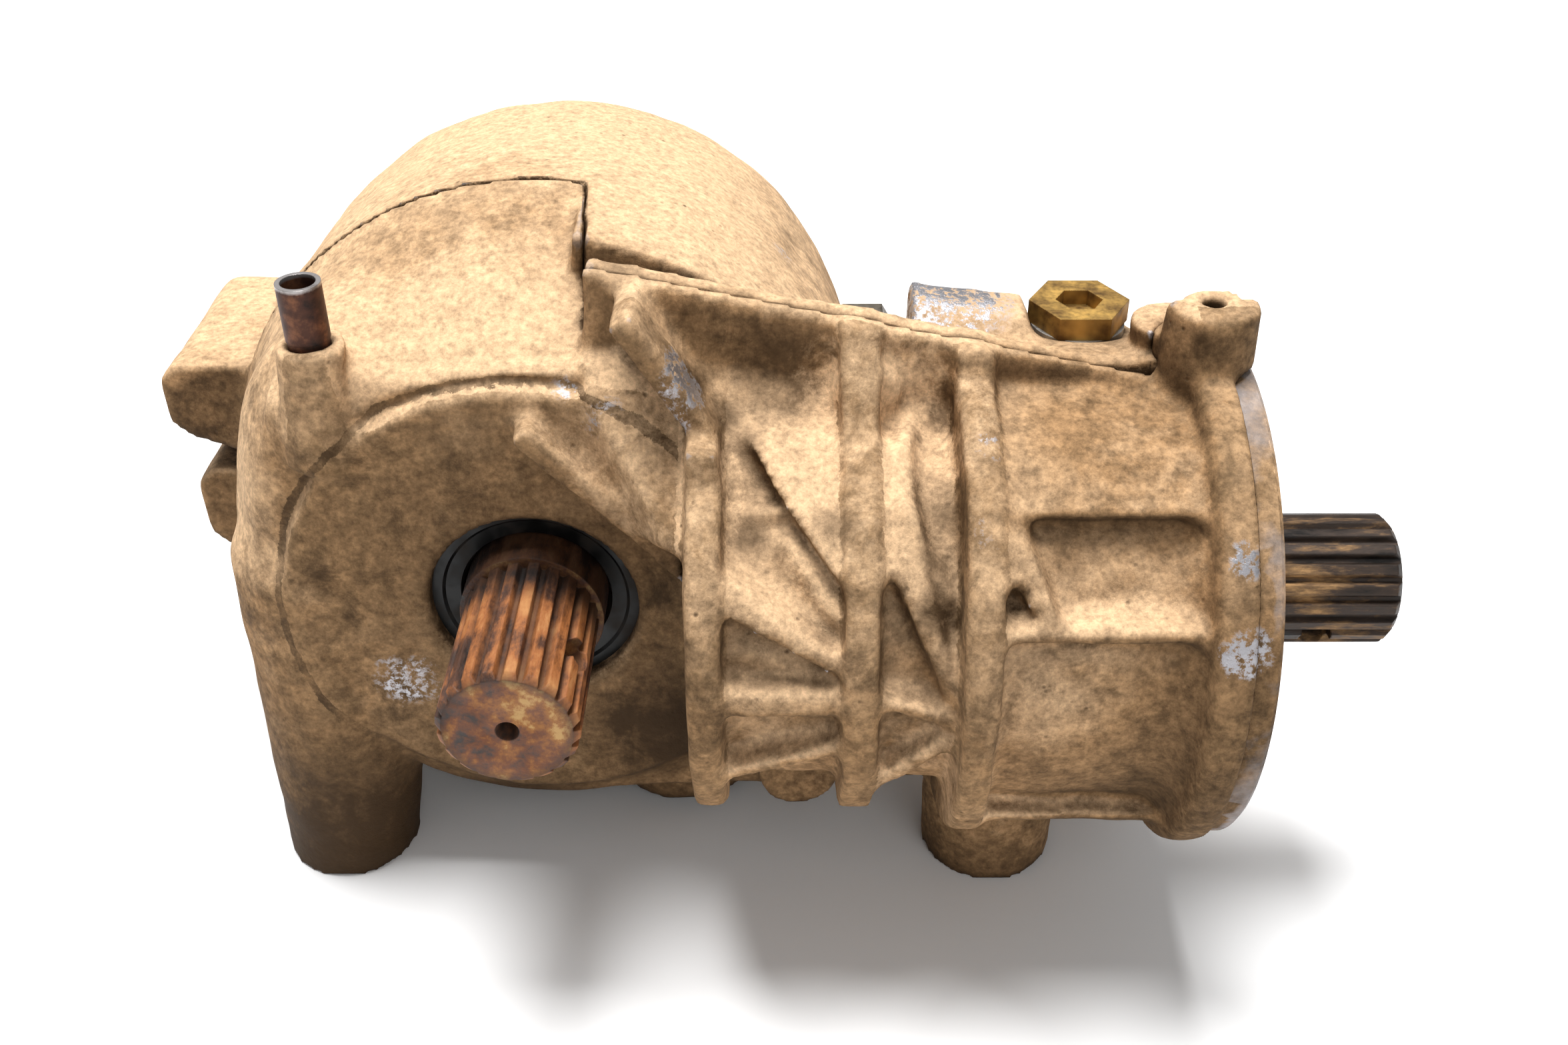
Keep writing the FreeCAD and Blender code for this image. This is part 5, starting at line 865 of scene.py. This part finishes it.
class DIFFERENTIAL_OT_stage(bpy.types.Operator):
    """Make the floor, the soft lights and the camera"""
    bl_idname = "differential.stage"
    bl_label = "Stage"

    def execute(self, context):
        settings = context.scene.differential
        floor_form = bmesh.new()
        bmesh.ops.create_grid(floor_form, x_segments=1, y_segments=1, size=settings.floor_size)
        bmesh.ops.translate(floor_form, verts=floor_form.verts, vec=(*FLOOR_MIDDLE, CAD_BOX[0].z))
        mesh = bpy.data.meshes.new("paper_floor")
        floor_form.to_mesh(mesh)
        floor_form.free()
        floor = bpy.data.objects.new("paper_floor", mesh)
        context.scene.collection.objects.link(floor)
        # matt paper: white without a shine, so only soft shadows show on it
        material, _, shader, _ = start_material("matt_paper", 0.0, 0.9)
        shader.inputs["Base Color"].default_value = settings.floor_colour
        show(floor, material)
        world = bpy.data.worlds.new("even_white")
        world.use_nodes = True
        world.node_tree.nodes["Background"].inputs[0].default_value = (1.0, 1.0, 1.0, 1.0)
        world.node_tree.nodes["Background"].inputs[1].default_value = settings.sky_strength
        context.scene.world = world
        context.scene.view_settings.view_transform = "Standard"
        for name, spot, size, power in (("key_light", KEY_PLACE, KEY_SIZE, settings.key_power),
                                        ("fill_light", FILL_PLACE, FILL_SIZE, settings.fill_power)):
            lamp = bpy.data.lights.new(name, "AREA")
            lamp.energy = power
            lamp.shape = "DISK"
            lamp.size = size
            holder = bpy.data.objects.new(name, lamp)
            holder.location = spot
            aim = Vector(LIT_POINT) - holder.location
            holder.rotation_euler = aim.to_track_quat("-Z", "Y").to_euler()
            context.scene.collection.objects.link(holder)
        lens = bpy.data.cameras.new("photo_camera")
        lens.sensor_width = SENSOR_WIDTH
        lens.lens = FOCAL_PIXELS / IMAGE_WIDTH * lens.sensor_width
        lens.clip_start = 0.01
        camera = bpy.data.objects.new("photo_camera", lens)
        camera.location = CAMERA_PLACE
        camera.rotation_euler = (math.radians(90 - CAMERA_LOOKS_DOWN), 0.0, 0.0)
        context.scene.collection.objects.link(camera)
        context.scene.camera = camera
        return {"FINISHED"}


class DIFFERENTIAL_PT_panel(bpy.types.Panel):
    """The sizes and colours, and a button for each step"""
    bl_idname = "DIFFERENTIAL_PT_panel"
    bl_label = "Front differential"
    bl_space_type = "VIEW_3D"
    bl_region_type = "UI"
    bl_category = "Differential"

    def draw(self, context):
        settings = context.scene.differential
        for name in DifferentialSettings.__annotations__:
            self.layout.prop(settings, name)
        for operator in OPERATORS:
            self.layout.operator(operator.bl_idname)


OPERATORS = (DIFFERENTIAL_OT_finishes, DIFFERENTIAL_OT_castings, DIFFERENTIAL_OT_stage)
CLASSES = (DifferentialSettings,) + OPERATORS + (DIFFERENTIAL_PT_panel,)


def register():
    for item in CLASSES:
        bpy.utils.register_class(item)
    bpy.types.Scene.differential = PointerProperty(type=DifferentialSettings)


def unregister():
    del bpy.types.Scene.differential
    for item in reversed(CLASSES):
        bpy.utils.unregister_class(item)


def main():
    register()
    bpy.ops.differential.finishes()
    bpy.ops.differential.castings()
    bpy.ops.differential.stage()
    bpy.context.view_layer.update()


if __name__ == "__main__":
    main()
